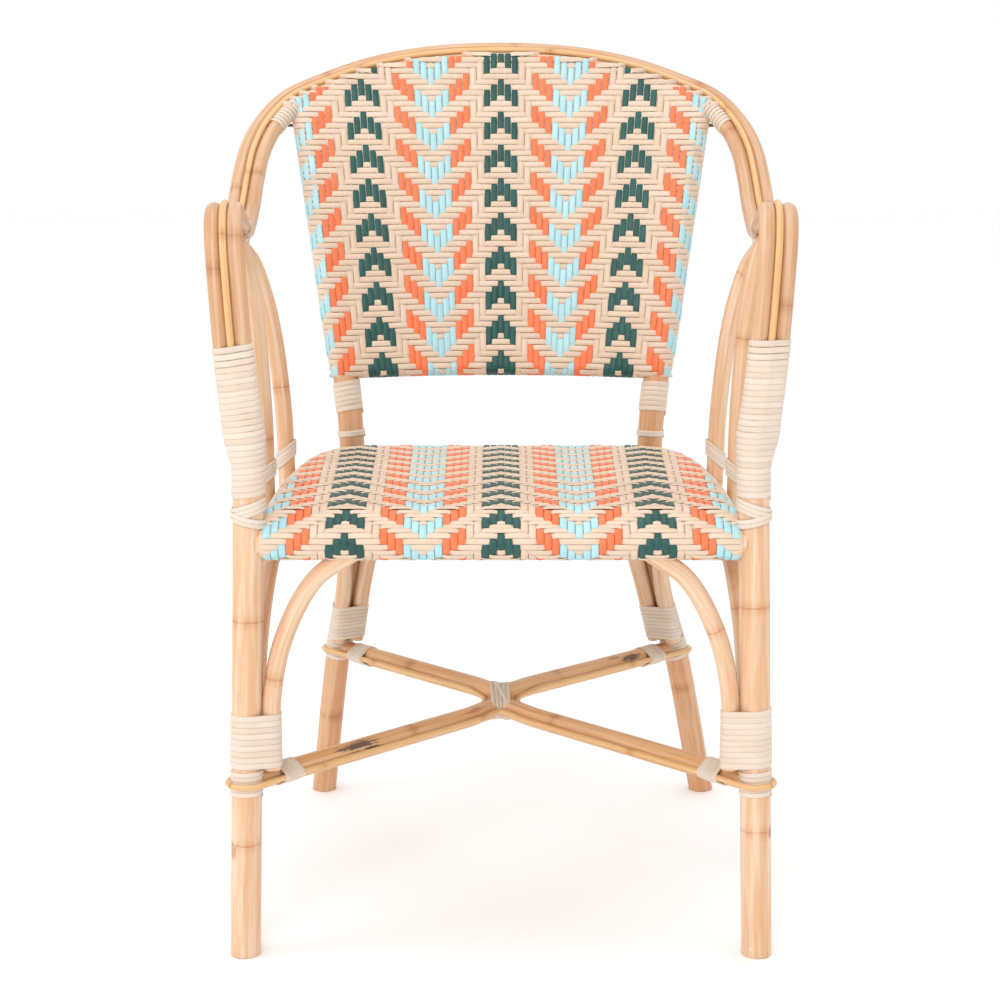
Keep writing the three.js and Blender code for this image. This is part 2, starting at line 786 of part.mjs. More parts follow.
const frontLeftEnd = [frontLegs.left, frontStretcher, frontStretcherHeight, true];
const frontRightEnd = [frontLegs.right, frontStretcher, frontStretcherHeight, false];
const rearLeftEnd = [rearLegs.left, rearStretcher, rearStretcherHeight, true];
const rearRightEnd = [rearLegs.right, rearStretcher, rearStretcherHeight, false];
const sideReach = thinReach + thinCaneRadius;
const gapMiddle = (x, y, z) => screwMiddle.clone().add(point(x, y, z));
const frontReach = centreHalfGap + thinReach;
const halfStep = (rearStretcherHeight - frontStretcherHeight) / 2;
const thinCanes = {
  front: thinCane([frontLeftEnd, frontRightEnd], gapMiddle(0, -frontReach, -halfStep)),
  rear: thinCane([rearLeftEnd, rearRightEnd], gapMiddle(0, frontReach, halfStep)),
  left: thinCane([frontLeftEnd, rearLeftEnd], gapMiddle(-sideReach, 0, 0)),
  right: thinCane([frontRightEnd, rearRightEnd], gapMiddle(sideReach, 0, 0)),
};
const stretcherCutters = [frontStretcherCutter, poleSolid(rearStretcher, clearance)];
for (const [place, cane] of Object.entries(thinCanes)) {
  const trimmed = cutBy(poleSolid(cane), [...legCutters, ...stretcherCutters]);
  addPiece(`stretcher_cane_${place}`, geometryOf(trimmed), colours.pole);
}

// Braces: bent canes from the low bindings up to the seat frame.
// Shares of the way in along the rail, and up from the foot of the brace to the rail.
const braceShares = [
  [0, 0],
  [0, 0.35],
  [0.16, 0.61],
  [0.52, 0.84],
  [1, 1],
];
const braceSteps = 8;
const braceFootDrop = 3;

function brace(leg, low, target) {
  const offset = leg.radius + braceRadius + clearance;
  const places = braceShares.map(([across, up]) => {
    const z = mix(low - braceFootDrop, target.z, up);
    const beside = legPlaceAt(leg, z);
    const away = target.clone().sub(beside).setZ(0).normalize();
    const near = beside.clone().addScaledVector(away, offset);
    return point(mix(near.x, target.x, across), mix(near.y, target.y, across), z);
  });
  return makePole(smoothCurve(places), braceRadius, caneSides, braceSteps);
}

const frontBraceInset = 74;
const frontBraceX = bowHalfWidth - frontBraceInset;
const sideBraceY = 110;
const rearBraceInset = 116;
const rearBraceX = bowHalfWidth - rearBraceInset;
const rearSideBraceY = 285;
const bracePieces = {};
for (const [sideName, side] of [['left', -1], ['right', 1]]) {
  const frontTarget = point(side * frontBraceX, lowerRailY, lowerRailHeight);
  const sideTarget = point(side * bowPlaceAt(sideBraceY).x, sideBraceY, bowHeight);
  const rearTarget = point(side * rearBraceX, bowRearY, bowHeight);
  const rearSideTarget = point(side * bowPlaceAt(rearSideBraceY).x, rearSideBraceY, bowHeight);
  bracePieces[`front_brace_${sideName}`] = brace(frontLegs[sideName], frontWrapLow, frontTarget);
  bracePieces[`front_side_brace_${sideName}`] = brace(frontLegs[sideName], frontWrapLow, sideTarget);
  bracePieces[`rear_brace_${sideName}`] = brace(rearLegs[sideName], rearWrapLow, rearTarget);
  bracePieces[`rear_side_brace_${sideName}`] = brace(rearLegs[sideName], rearWrapLow, rearSideTarget);
}
for (const [name, piece] of Object.entries(bracePieces)) {
  addPiece(name, geometryOf(cutBy(poleSolid(piece), [...seatSkinCutters, ...legCutters])), colours.pole);
}

// Bindings. The poles that cross a plane are found, and the peel goes round their outline.
function crossingOf(pole, origin, axis) {
  let best = null;
  let before = null;
  for (let i = 0; i <= pole.steps; i += 1) {
    const place = pole.curve.getPointAt(i / pole.steps);
    const height = place.clone().sub(origin).dot(axis);
    if (before && (before.height <= 0) !== (height <= 0)) {
      const share = before.height / (before.height - height);
      const hit = before.place.clone().lerp(place, share);
      if (!best || hit.distanceTo(origin) < best.distanceTo(origin)) {
        best = hit;
      }
    }
    before = { place, height };
  }
  return best;
}

function circlesAt(poles, origin, axis, basisX, basisY) {
  const circles = [];
  for (const pole of poles) {
    const hit = crossingOf(pole, origin, axis);
    if (hit) {
      const local = hit.sub(origin);
      circles.push({ x: local.dot(basisX), y: local.dot(basisY), radius: pole.radius });
    }
  }
  return circles;
}

// A corner of the straight-sided outline that goes round the circles, a little way off them.
function outlineCorner(circles, angle, turn, offset) {
  const sides = [angle - turn / 2, angle + turn / 2].map((way) => {
    const normal = new THREE.Vector2(Math.cos(way), Math.sin(way));
    const reaches = circles.map(({ x, y, radius }) => x * normal.x + y * normal.y + radius);
    return { normal, reach: Math.max(...reaches) + offset };
  });
  const [one, other] = sides;
  const cos = Math.cos(turn);
  const corner = one.normal.clone().multiplyScalar(one.reach - other.reach * cos)
    .addScaledVector(other.normal, other.reach - one.reach * cos);
  return corner.divideScalar(Math.sin(turn) ** 2);
}

function basisFor(axis) {
  const basisX = Math.abs(axis.z) > Math.SQRT1_2 ? point(1, 0, 0) : point(0, 0, 1);
  basisX.addScaledVector(axis, -basisX.dot(axis)).normalize();
  return { basisX, basisY: axis.clone().cross(basisX) };
}

// Planes across a band at which its poles are found, as shares of its length.
const bandShares = [-1 / 2, -1 / 4, 0, 1 / 4, 1 / 2];

function band(poles, origin, axis, length, thickness) {
  const { basisX, basisY } = basisFor(axis);
  const circles = bandShares.flatMap((share) => {
    const place = origin.clone().addScaledVector(axis, share * length);
    return circlesAt(poles, place, axis, basisX, basisY);
  });
  const turn = (2 * Math.PI) / bandSides;
  const outline = (offset) => {
    const places = [];
    for (let i = 0; i < bandSides; i += 1) {
      places.push(outlineCorner(circles, i * turn, turn, offset));
    }
    return places;
  };
  const shape = new THREE.Shape(outline(clearance + thickness));
  shape.holes.push(new THREE.Path(outline(clearance)));
  const geometry = new THREE.ExtrudeGeometry(shape, { depth: length, bevelEnabled: false });
  geometry.translate(0, 0, -length / 2);
  geometry.applyMatrix4(new THREE.Matrix4().makeBasis(basisX, basisY, axis));
  return geometry.translate(origin.x, origin.y, origin.z);
}

// One strip of peel wound round the poles, from low to high, with open gaps between its turns.
const windPitch = peelWidth + peelGap;
const upright = point(0, 0, 1);
// The strip's four corners: out from the poles, and up from its middle in shares of its width.
const stripCorners = [
  { out: 0, up: -1 / 2 },
  { out: 1, up: -1 / 2 },
  { out: 1, up: 1 / 2 },
  { out: 0, up: 1 / 2 },
];
const topCorner = 2;

function winding(name, poles, origin, turns) {
  const { basisX, basisY } = basisFor(upright);
  const stepAngle = (2 * Math.PI) / turnSteps;
  const count = turns * turnSteps;
  const positions = [];
  const quads = [];
  for (let i = 0; i <= count; i += 1) {
    const rise = (i / turnSteps) * windPitch;
    const circles = [-1, 0, 1].flatMap((share) => circlesAt(
      poles,
      origin.clone().addScaledVector(upright, rise + share * windPitch),
      upright,
      basisX,
      basisY,
    ));
    for (const { out, up } of stripCorners) {
      const flat = outlineCorner(circles, i * stepAngle, stepAngle, clearance + out * peelThickness);
      positions.push(origin.x + flat.x, origin.y + flat.y, origin.z + rise + up * peelWidth);
    }
  }
  const ring = stripCorners.length;
  for (let i = 0; i < count; i += 1) {
    for (let side = 0; side < ring; side += 1) {
      const a = ring * i + side;
      const b = ring * i + ((side + 1) % ring);
      quads.push([a, a + ring, b + ring, b]);
    }
  }
  const end = ring * count;
  quads.push([0, 1, 2, 3]);
  quads.push([end, end + 3, end + 2, end + 1]);
  console.log(`${name}: least gap between turns ${leastGap(positions).toFixed(2)} mm`);
  return facesOf(positions, quads);
}

// Least height between the top edge of one turn and the bottom edge of the next, on its points.
function leastGap(positions) {
  const ring = stripCorners.length;
  const heights = positions.filter((value, i) => i % 3 === 2);
  let least = Infinity;
  for (let i = 0; i + ring * turnSteps < heights.length; i += ring) {
    least = Math.min(least, heights[i + ring * turnSteps] - heights[i + topCorner]);
  }
  return least;
}

// The peel at the corners of the hoop ends at the binder cane.
const binderRoom = poleSolid(binderCane, 4 * clearance);

const legAxisAt = (leg, z) => leg.curve.getTangentAt(shareWhere(leg.curve, 'z', z));

function addBand(name, poles, origin, axis, length, thickness) {
  addPiece(name, band(poles, origin, axis, length, thickness), colours.peel);
}

for (const [sideName, side] of [['left', -1], ['right', 1]]) {
  const leg = frontLegs[sideName];
  const rear = rearLegs[sideName];
  const loop = armLoops[sideName];
  const bracesOf = (...names) => names.map((name) => bracePieces[`${name}_${sideName}`]);
  const addWinding = (name, poles, low, turns) => {
    const full = `${name}_${sideName}`;
    const start = point(side * frontLegX(low), 0, low);
    addPiece(full, winding(full, poles, start, turns), colours.peel);
  };

  addWinding('arm_post_wrap', [leg, outerCane, innerCane, binderCane], armWrapLow, armWrapTurns);
  const lowPoles = [leg, ...bracesOf('front_brace', 'front_side_brace')];
  addWinding('front_leg_wrap', lowPoles, frontWrapLow, frontWrapTurns);

  const rearPoles = [rear, ...bracesOf('rear_brace', 'rear_side_brace')];
  const rearMiddle = legPlaceAt(rear, rearWrapLow + rearWrapLength / 2);
  addBand(`rear_leg_wrap_${sideName}`, rearPoles, rearMiddle, upright, rearWrapLength, knotThickness);

  const stileHeight = stileWrapLow + stileWrapLength / 2;
  const stileMiddle = legPlaceAt(rear, stileHeight);
  const stileAxis = legAxisAt(rear, stileHeight);
  addBand(`stile_wrap_${sideName}`, [rear], stileMiddle, stileAxis, stileWrapLength, knotThickness);

  const knotMiddle = legPlaceAt(rear, seatHeight + stileKnotLength);
  addBand(`stile_knot_${sideName}`, [rear], knotMiddle, upright, stileKnotLength, knotThickness);

  const legKnotHeight = frontKnotLow + frontKnotLength / 2;
  const legKnotMiddle = legPlaceAt(leg, legKnotHeight);
  addBand(`seat_front_knot_${sideName}`, [leg], legKnotMiddle, upright, frontKnotLength, knotThickness);

  for (const [place, y] of [['front', loopFrontY], ['rear', loopRearY]]) {
    const foot = point(side * (bowPlaceAt(y).x + loopStandOff), y, seatHeight + loopKnotLength / 2);
    foot.z += 2 * clearance;
    addBand(`arm_loop_knot_${place}_${sideName}`, [loop], foot, upright, loopKnotLength, knotThickness);
  }

  const tieY = mix(loopFrontY, loopRearY, armTieShare);
  const tieMiddle = armPlaceAt(tieY);
  tieMiddle.x *= side;
  const tiePoles = [outerCane, innerCane, binderCane, loop];
  addBand(`arm_tie_${sideName}`, tiePoles, tieMiddle, point(0, 1, 0), armTieLength, knotThickness);

  const cornerShare = topFrom - cornerWrapLength / innerCane.curve.getLength();
  const onCane = side > 0 ? cornerShare : 1 - cornerShare;
  const corner = band(
    [innerCane],
    innerCane.curve.getPointAt(onCane),
    innerCane.curve.getTangentAt(onCane),
    cornerWrapLength,
    knotThickness,
  );
  const stileSkin = poleSolid(stileSections[sideName], weaveThickness + clearance);
  const cornerCutters = [binderRoom, outerCaneCutter, innerCaneCutter, stileSkin, ...legCutters];
  addPiece(`hoop_corner_wrap_${sideName}`, geometryOf(cutBy(solidOf(corner), cornerCutters)), colours.peel);
}

// Bindings of the stretchers: one near each leg and one over the middle of the cross.
function shareFromLeg(pole, fromLeft) {
  const share = endWrapReach / pole.curve.getLength();
  return fromLeft ? share : 1 - share;
}

for (const [row, pole, canes] of [
  ['front', frontStretcher, [thinCanes.front, thinCanes.left, thinCanes.right]],
  ['rear', rearStretcher, [thinCanes.rear, thinCanes.left, thinCanes.right]],
]) {
  for (const sideName of ['left', 'right']) {
    const share = shareFromLeg(pole, sideName === 'left');
    const near = pole.curve.getPointAt(share);
    const poles = [pole, canes[0], sideName === 'left' ? canes[1] : canes[2]];
    const axis = pole.curve.getTangentAt(share);
    addBand(`stretcher_wrap_${row}_${sideName}`, poles, near, axis, endWrapLength, knotThickness);
  }
}

const roomFor = (cane) => ({ ...cane, radius: cane.radius + 3 * clearance });
const crossPoles = [frontStretcher, rearStretcher, roomFor(thinCanes.front), roomFor(thinCanes.rear)];
addBand(
  'stretcher_centre_wrap',
  crossPoles,
  screwMiddle.clone(),
  point(1, 0, 0),
  centreWrapLength,
  knotThickness,
);

const origin = new THREE.Box3().setFromObject(chair);
chair.position.y = -(origin.min.y + origin.max.y) / 2;
chair.updateMatrixWorld(true);

export default chair;
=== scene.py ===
from math import asin, atan2, ceil, copysign, cos, floor, hypot, pi, radians, sin, sqrt

import bmesh
import bpy
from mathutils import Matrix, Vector
from mathutils.geometry import convex_hull_2d


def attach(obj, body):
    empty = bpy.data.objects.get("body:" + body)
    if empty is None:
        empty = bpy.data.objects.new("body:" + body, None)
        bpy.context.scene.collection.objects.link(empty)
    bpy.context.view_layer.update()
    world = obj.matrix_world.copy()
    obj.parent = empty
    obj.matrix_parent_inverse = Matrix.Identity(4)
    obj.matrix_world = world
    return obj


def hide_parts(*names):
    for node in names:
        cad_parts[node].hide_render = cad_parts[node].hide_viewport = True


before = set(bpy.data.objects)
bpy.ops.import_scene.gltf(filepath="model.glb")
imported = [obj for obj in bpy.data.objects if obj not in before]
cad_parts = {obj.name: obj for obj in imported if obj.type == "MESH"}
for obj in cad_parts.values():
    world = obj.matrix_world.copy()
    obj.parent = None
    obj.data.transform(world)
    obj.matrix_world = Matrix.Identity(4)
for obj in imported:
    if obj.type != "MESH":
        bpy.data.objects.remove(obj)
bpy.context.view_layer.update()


# Front legs: two straight rattan poles with the bark left on and a thin clear lacquer. Their feet
# are sawn off level, and their tops end inside the long bindings under the arm canes.
def smooth_line(places, gap=0.004):
    """A smooth line through the places, with points about one gap apart."""
    places = [Vector(place) for place in places]
    padded = [2 * places[0] - places[1], *places, 2 * places[-1] - places[-2]]
    line = []
    for before, start, end, after in zip(padded, padded[1:], padded[2:], padded[3:]):
        t1 = (start - before).length ** 0.5
        t2 = t1 + (end - start).length ** 0.5
        t3 = t2 + (after - end).length ** 0.5
        count = max(1, round((end - start).length / gap))
        for i in range(count):
            t = t1 + (t2 - t1) * i / count
            a1 = before.lerp(start, t / t1)
            a2 = start.lerp(end, (t - t1) / (t2 - t1))
            a3 = end.lerp(after, (t - t2) / (t3 - t2))
            b1 = a1.lerp(a2, t / t2)
            b2 = a2.lerp(a3, (t - t1) / (t3 - t1))
            line.append(b1.lerp(b2, (t - t1) / (t2 - t1)))
    line.append(places[-1])
    return line


def carried_ups(line, first):
    """A direction square to each point of the line, carried along it without twisting."""
    ups = []
    up = Vector(first)
    for i in range(len(line)):
        along = (line[min(i + 1, len(line) - 1)] - line[max(i - 1, 0)]).normalized()
        up = (up - up.dot(along) * along).normalized()
        ups.append(up)
    return ups


def lay(bm, line, ups, section, start=0.0):
    """Carries a closed section of (side, up) pairs along a line. The columns of a grid follow the
    line and its rows go round the section. Its UV map holds metres along and turns round."""
    steps = len(line) - 1
    sides = len(section)
    uv = bm.loops.layers.uv.get("UVMap") or bm.loops.layers.uv.new("UVMap")
    cells = bmesh.ops.create_grid(bm, x_segments=steps, y_segments=sides, size=1.0)["verts"]
    reach = [start]
    for here, there in zip(line, line[1:]):
        reach.append(reach[-1] + (there - here).length)
    places = {}
    for vert in cells:
        i = round((vert.co.x + 1) / 2 * steps)
        j = round((vert.co.y + 1) / 2 * sides)
        places[vert] = (i, j)
        along = (line[min(i + 1, steps)] - line[max(i - 1, 0)]).normalized()
        side, lift = section[j % sides]
        vert.co = line[i] + ups[i].cross(along) * side + ups[i] * lift
    faces = {face for vert in cells for face in vert.link_faces}
    for face in faces:
        for loop in face.loops:
            i, j = places[loop.vert]
            loop[uv].uv = (reach[i], j / sides)
    seam = [vert for vert in cells if places[vert][1] in (0, sides)]
    bmesh.ops.remove_doubles(bm, verts=seam, dist=1e-7)
    rims = {}
    for face in faces:
        for edge in face.edges:
            if edge.is_boundary:
                rims.setdefault(places[edge.verts[0]][0], set()).add(edge)
    for rim in rims.values():
        bmesh.ops.contextual_create(bm, geom=list(rim))


def round_section(radius, sides=22):
    turns = [2 * pi * i / sides for i in range(sides)]
    return [(radius * sin(turn), -radius * cos(turn)) for turn in turns]


def add_object(name, data):
    made = bpy.data.objects.new(name, data)
    bpy.context.scene.collection.objects.link(made)
    return made


def finish_piece(bm, name, material, slot, *nodes):
    """Turns a bmesh into a piece of the chair that rides on the frame."""
    bmesh.ops.recalc_face_normals(bm, faces=bm.faces)
    mesh = bpy.data.meshes.new(name)
    bm.to_mesh(mesh)
    bm.free()
    mesh.polygons.foreach_set("use_smooth", [True] * len(mesh.polygons))
    mesh.set_sharp_from_angle(angle=radians(50))
    mesh.materials.append(material)
    piece = add_object(name, mesh)
    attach(piece, "root")
    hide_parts(*nodes)


class Shade:
    """A value in a material's nodes, so that shading sums are written as plain expressions."""

    def __init__(self, tree, socket=None):
        self.tree = tree
        self.socket = socket

    def node(self, kind, settings=None, inputs=None, output=0):
        made = self.tree.nodes.new(kind)
        for name, value in (settings or {}).items():
            setattr(made, name, value)
        for name, value in (inputs or {}).items():
            if isinstance(value, Shade):
                self.tree.links.new(value.socket, made.inputs[name])
            else:
                made.inputs[name].default_value = value
        return Shade(self.tree, made.outputs[output])

    def math(self, operation, first, second=0.0):
        return self.node("ShaderNodeMath", {"operation": operation}, {0: first, 1: second})

    def __add__(self, other):
        return self.math("ADD", self, other)

    def __sub__(self, other):
        return self.math("SUBTRACT", self, other)

    def __rsub__(self, other):
        return self.math("SUBTRACT", other, self)

    def __mul__(self, other):
        return self.math("MULTIPLY", self, other)

    def ease(self, low, high):
        """0 below low and 1 above high, smooth between."""
        return self.node(
            "ShaderNodeMapRange",
            {"interpolation_type": "SMOOTHSTEP"},
            {"Value": self, "From Min": low, "From Max": high},
        )

    def towards(self, one, other):
        """A colour that goes from one to the other as this value goes from 0 to 1."""
        return self.node(
            "ShaderNodeMix",
            {"data_type": "RGBA", "blend_type": "MIX"},
            {0: self, 6: one, 7: other},
            output=2,
        )

    def vector(self, x, y, z):
        return self.node("ShaderNodeCombineXYZ", None, {0: x, 1: y, 2: z})

    def noise(self, place, scale=1.0, detail=2.0):
        return self.node(
            "ShaderNodeTexNoise",
            {"noise_dimensions": "3D"},
            {"Vector": place, "Scale": scale, "Detail": detail, "Roughness": 0.55},
        )


def paint(red, green, blue):
    """A colour read as 0 to 255 screen values, as the linear colour that a shader takes."""
    def linear(value):
        value /= 255
        return value / 12.92 if value <= 0.04045 else ((value + 0.055) / 1.055) ** 2.4
    return (linear(red), linear(green), linear(blue), 1.0)


def new_material(name):
    material = bpy.data.materials.new(name)
    material.use_nodes = True
    tree = material.node_tree
    surface = tree.nodes["Principled BSDF"]
    uv = Shade(tree).node("ShaderNodeUVMap", {"uv_map": "UVMap"})
    split = tree.nodes.new("ShaderNodeSeparateXYZ")
    tree.links.new(uv.socket, split.inputs[0])
    return material, surface, Shade(tree, split.outputs[0]), Shade(tree, split.outputs[1])


def connect(surface, **values):
    for name, value in values.items():
        surface.id_data.links.new(value.socket, surface.inputs[name.replace("_", " ")])


def finish_surface(surface, base, roughness, relief, depth, strength):
    """Joins a colour, a roughness and a relief to a surface."""
    settings = {"Height": relief, "Distance": depth, "Strength": strength}
    bump = relief.node("ShaderNodeBump", None, settings)
    connect(surface, Base_Color=base, Roughness=roughness, Normal=bump)
    surface.inputs["Specular IOR Level"].default_value = 0.4


RING_GAP = 0.2205


def cane_start(number, first_ring=0.11):
    """Where a cane's own length count starts, so that its first leaf ring is first_ring along it."""
    return (20 * number + 0.5) * RING_GAP - first_ring


def cane_material(name, light, warm, shadow, gloss=0.4, marks=()):
    """Rattan bark: long streaks and fine fibres, a pink blush here and there, a thin brown ring
    where each leaf grew, and dark marks at (place along, turns round, length, width)."""
    material, surface, along, turn = new_material(name)
    angle = turn * (2 * pi)
    cosine = along.math("COSINE", angle)
    sine = along.math("SINE", angle)
    streaks = along.noise(along.vector(along * 8.0, cosine * 1.9, sine * 1.9), 1.0, 4.0)
    fibres = along.noise(along.vector(along * 12.0, cosine * 13.0, sine * 13.0), 1.0, 3.0)
    blush = along.noise(along.vector(along * 16.0, cosine * 1.2, sine * 1.2), 1.0, 2.0)
    base = streaks.ease(0.32, 0.66).towards(paint(*light), paint(*warm))
    base = (fibres.ease(0.48, 0.74) * 0.42).towards(base, paint(*shadow))
    base = (blush.ease(0.56, 0.72) * 0.35).towards(base, paint(218, 150, 118))
    wavy = (along + (blush - 0.5) * 0.004) * (1 / RING_GAP)
    ring = along.math("ABSOLUTE", along.math("FRACT", wavy) - 0.5) * RING_GAP
    line = (1 - ring.ease(0.0003, 0.0014)) * (streaks.ease(0.3, 0.6) * 0.6 + 0.4)
    skirt = (1 - ring.ease(0.001, 0.011)) * streaks.ease(0.3, 0.6)
    base = (skirt * 0.6).towards(base, paint(*shadow))
    base = (line * 0.55).towards(base, paint(182, 112, 72))
    for place, turns, length, width, colour, strength in marks:
        off = along.vector((along - place) * (1 / length), (turn - turns) * (1 / width), 0.0)
        away = along.node("ShaderNodeVectorMath", {"operation": "LENGTH"}, {0: off}, output=1)
        ragged = along.noise(along.vector(along * 90.0, cosine * 5.0, sine * 5.0), 1.0, 4.0)
        mark = 1 - (away + (ragged - 0.5) * 2.2).ease(0.35, 0.9)
        base = (mark * strength).towards(base, paint(*colour))
    relief = fibres * 0.5 + streaks * 0.4 - line * 1.2 + skirt * 0.5
    finish_surface(surface, base, fibres * 0.2 + (gloss - 0.08), relief, 0.0004, 0.6)
    surface.inputs["Coat Weight"].default_value = 0.12
    surface.inputs["Coat Roughness"].default_value = 0.3
    return material


FRONT_LEG_RADIUS = 0.0147
FRONT_LINE = -0.2707
LEG_TOP = 0.5
pole_finish = cane_material(
    "rattan_pole", (226, 198, 169), (215, 168, 126), (199, 144, 100),
    marks=[
        (cane_start(2, 0.148) + 0.147, 0.68, 0.012, 0.05, (150, 62, 40), 0.75),
        (cane_start(1, 0.1345) + 0.128, 0.36, 0.012, 0.07, (176, 108, 72), 0.6),
        (cane_start(2, 0.148) + 0.03, 0.42, 0.003, 0.03, (226, 216, 200), 0.8),
    ],
)
pole_lines = {}
pole_radii = {}


def add_cane(name, places, radius, material, start, flats=(), sides=22):
    """One cane, smooth along its places, with any level saw cuts at the heights in flats."""
    line = smooth_line(places)
    pole_lines[name] = line
    pole_radii[name] = radius
    bm = bmesh.new()
    lay(bm, line, carried_ups(line, (0.01, -1, 0.02)), round_section(radius, sides), start)
    for height, keep_above in flats:
        cut = bmesh.ops.bisect_plane(
            bm,
            geom=[*bm.verts, *bm.edges, *bm.faces],
            plane_co=(0, 0, height),
            plane_no=(0, 0, 1),
            clear_inner=keep_above,
            clear_outer=not keep_above,
        )["geom_cut"]
        rim = [edge for edge in cut if isinstance(edge, bmesh.types.BMEdge)]
        bmesh.ops.contextual_create(bm, geom=rim)
        bmesh.ops.bevel(
            bm, geom=rim, offset=0.0007, affect="EDGES", segments=2, profile=0.5, material=-1
        )
    finish_piece(bm, f"{name}_cane", material, "pole", name)


SIDES = (("left", -1), ("right", 1))


def mirrored(places, side):
    """Places given for the right of the chair, on the wanted side."""
    return [(side * x, *rest) for x, *rest in places]


def both_halves(half, middle):
    """A line's places from end to end, of which the second half mirrors the first."""
    return [*half, middle, *mirrored(reversed(half), -1)]


front_rings = {"left": (1, 0.1345), "right": (2, 0.148)}
front_leg_places = [
    (0.2489, FRONT_LINE, -0.02), (0.2413, FRONT_LINE, 0.245), (0.2334, FRONT_LINE, 0.52)
]
for hand, side in SIDES:
    add_cane(
        f"front_leg_{hand}", mirrored(front_leg_places, side), FRONT_LEG_RADIUS, pole_finish,
        cane_start(*front_rings[hand]), [(0, True), (LEG_TOP, False)], 28,
    )


# Rear legs: one bent pole on each side, from the foot past the seat and up the side of the back
# panel to the hoop. The right one splays further at its foot.
REAR_LEG_RADIUS = 0.014
# Painted shade: the rear poles' bark is painted darker than the front legs', for the shade they stand
# in under the seat and behind the back.
rear_shaded_finish = cane_material("rattan_rear_pole_painted_shade", (216, 174, 136), (202, 148, 104), (172, 114, 72))
waist_up = [
    (0.1674, 0.1293, 0.440), (0.1738, 0.1366, 0.5088), (0.183, 0.1481, 0.5632),
    (0.196, 0.1722, 0.6464), (0.2062, 0.1931, 0.7081), (0.2188, 0.2235, 0.7821),
    (0.2241, 0.2371, 0.8098),
]
below_waist = {
    "left": [
        (0.2152, 0.2213, -0.018), (0.213, 0.2193, 0), (0.1916, 0.1813, 0.1729),
        (0.177, 0.1633, 0.260), (0.169, 0.1443, 0.3498),
    ],
    "right": [
        (0.2446, 0.2217, -0.018), (0.241, 0.2193, 0), (0.2065, 0.1813, 0.1729),
        (0.1829, 0.1633, 0.260), (0.170, 0.1443, 0.3498),
    ],
}
for hand, side in SIDES:
    places = mirrored(below_waist[hand] + waist_up, side)
    start = cane_start(5 + side, 0.145 + 0.02 * side)
    add_cane(f"rear_leg_{hand}", places, REAR_LEG_RADIUS, rear_shaded_finish, start, [(0, True)], 26)


# Hoop: two long canes side by side, steamed and bent from one arm post over the arm, round the
# back and down the other side. A thin binder cane closes the crease between them.
OUTER_RADIUS = 0.008
INNER_RADIUS = 0.0085
BINDER_RADIUS = 0.0034
HALF_SPACING = 0.00975
BINDER_LIFT = 0.0073
HOOP_TILT = radians(50)
hoop_half = [
    (0.2365, -0.2707, 0.4832, 0), (0.238, -0.2707, 0.5003, 0), (0.242, -0.2718, 0.5452, 0),
    (0.2465, -0.2737, 0.5933, 0), (0.250, -0.2756, 0.6501, 0), (0.252, -0.2737, 0.6849, 0),
    (0.254, -0.2587, 0.7061, 0), (0.256, -0.2327, 0.714, 0), (0.260, -0.1857, 0.708, 0),
    (0.2645, -0.1257, 0.698, 0), (0.270, -0.0557, 0.686, 0), (0.274, -0.0057, 0.6819, 0),
    (0.2775, 0.0493, 0.6871, 0), (0.2795, 0.1043, 0.704, 0), (0.279, 0.1493, 0.733, 0.1),
    (0.275, 0.1813, 0.7601, 0.25), (0.263, 0.2093, 0.787, 0.45), (0.238, 0.2333, 0.814, 0.65),
    (0.199, 0.2493, 0.832, 0.8), (0.146, 0.2623, 0.850, 0.9), (0.081, 0.2723, 0.862, 0.97),
]
hoop_places = both_halves(hoop_half, (0, 0.2763, 0.866, 1))
hoop_centres = [Vector(place[:3]) for place in hoop_places]
hoop_frames = []
for i, (x, y, z, tilt) in enumerate(hoop_places):
    ahead = hoop_centres[min(i + 1, len(hoop_places) - 1)]
    along = (ahead - hoop_centres[max(i - 1, 0)]).normalized()
    outward = Vector((
        copysign(1 - tilt, x), tilt * sin(HOOP_TILT), tilt * cos(HOOP_TILT)
    ))
    outward = (outward - outward.dot(along) * along).normalized()
    hoop_frames.append((Vector((x, y, z)), outward, outward.cross(along).normalized()))


hoop_finish = cane_material("rattan_hoop", (214, 178, 144), (196, 148, 106), (172, 118, 76), 0.36)
binder_finish = cane_material("rattan_binder", (228, 188, 136), (218, 170, 112), (184, 126, 70), 0.34)
HOOP_FOOT = 0.5003
for name, outward_by, over_by, radius, finish, start, sides in (
    ("outer", HALF_SPACING, 0, OUTER_RADIUS, hoop_finish, cane_start(8, 0.15), 24),
    ("inner", -HALF_SPACING, 0, INNER_RADIUS, hoop_finish, cane_start(9, 0.06), 24),
    ("binder", 0, BINDER_LIFT, BINDER_RADIUS, binder_finish, cane_start(10, 0.1), 14),
):
    places = [
        place + outward * outward_by + over * over_by for place, outward, over in hoop_frames
    ]
    add_cane(f"hoop_{name}_cane", places, radius, finish, start, [(HOOP_FOOT, True)], sides)


# Arm loops: one cane on each side, bent into a tall loop that stands on the seat frame and
# carries the arm from below.
LOOP_RADIUS = 0.009
loop_places = [
    (0.2355, -0.1257, 0.4136), (0.2362, -0.1257, 0.507), (0.2439, -0.1257, 0.6137),
    (0.2526, -0.1221, 0.6609), (0.2592, -0.1065, 0.6755), (0.2636, -0.0657, 0.6698),
    (0.2651, -0.0249, 0.6635), (0.2566, -0.0093, 0.6466), (0.2415, -0.0057, 0.594),
    (0.2297, -0.0057, 0.5013), (0.2263, -0.0057, 0.4136),
]
for hand, side in SIDES:
    start = cane_start(13 + side, 0.12 + 0.05 * side)
    add_cane(f"arm_loop_{hand}", mirrored(loop_places, side), LOOP_RADIUS, pole_finish, start)


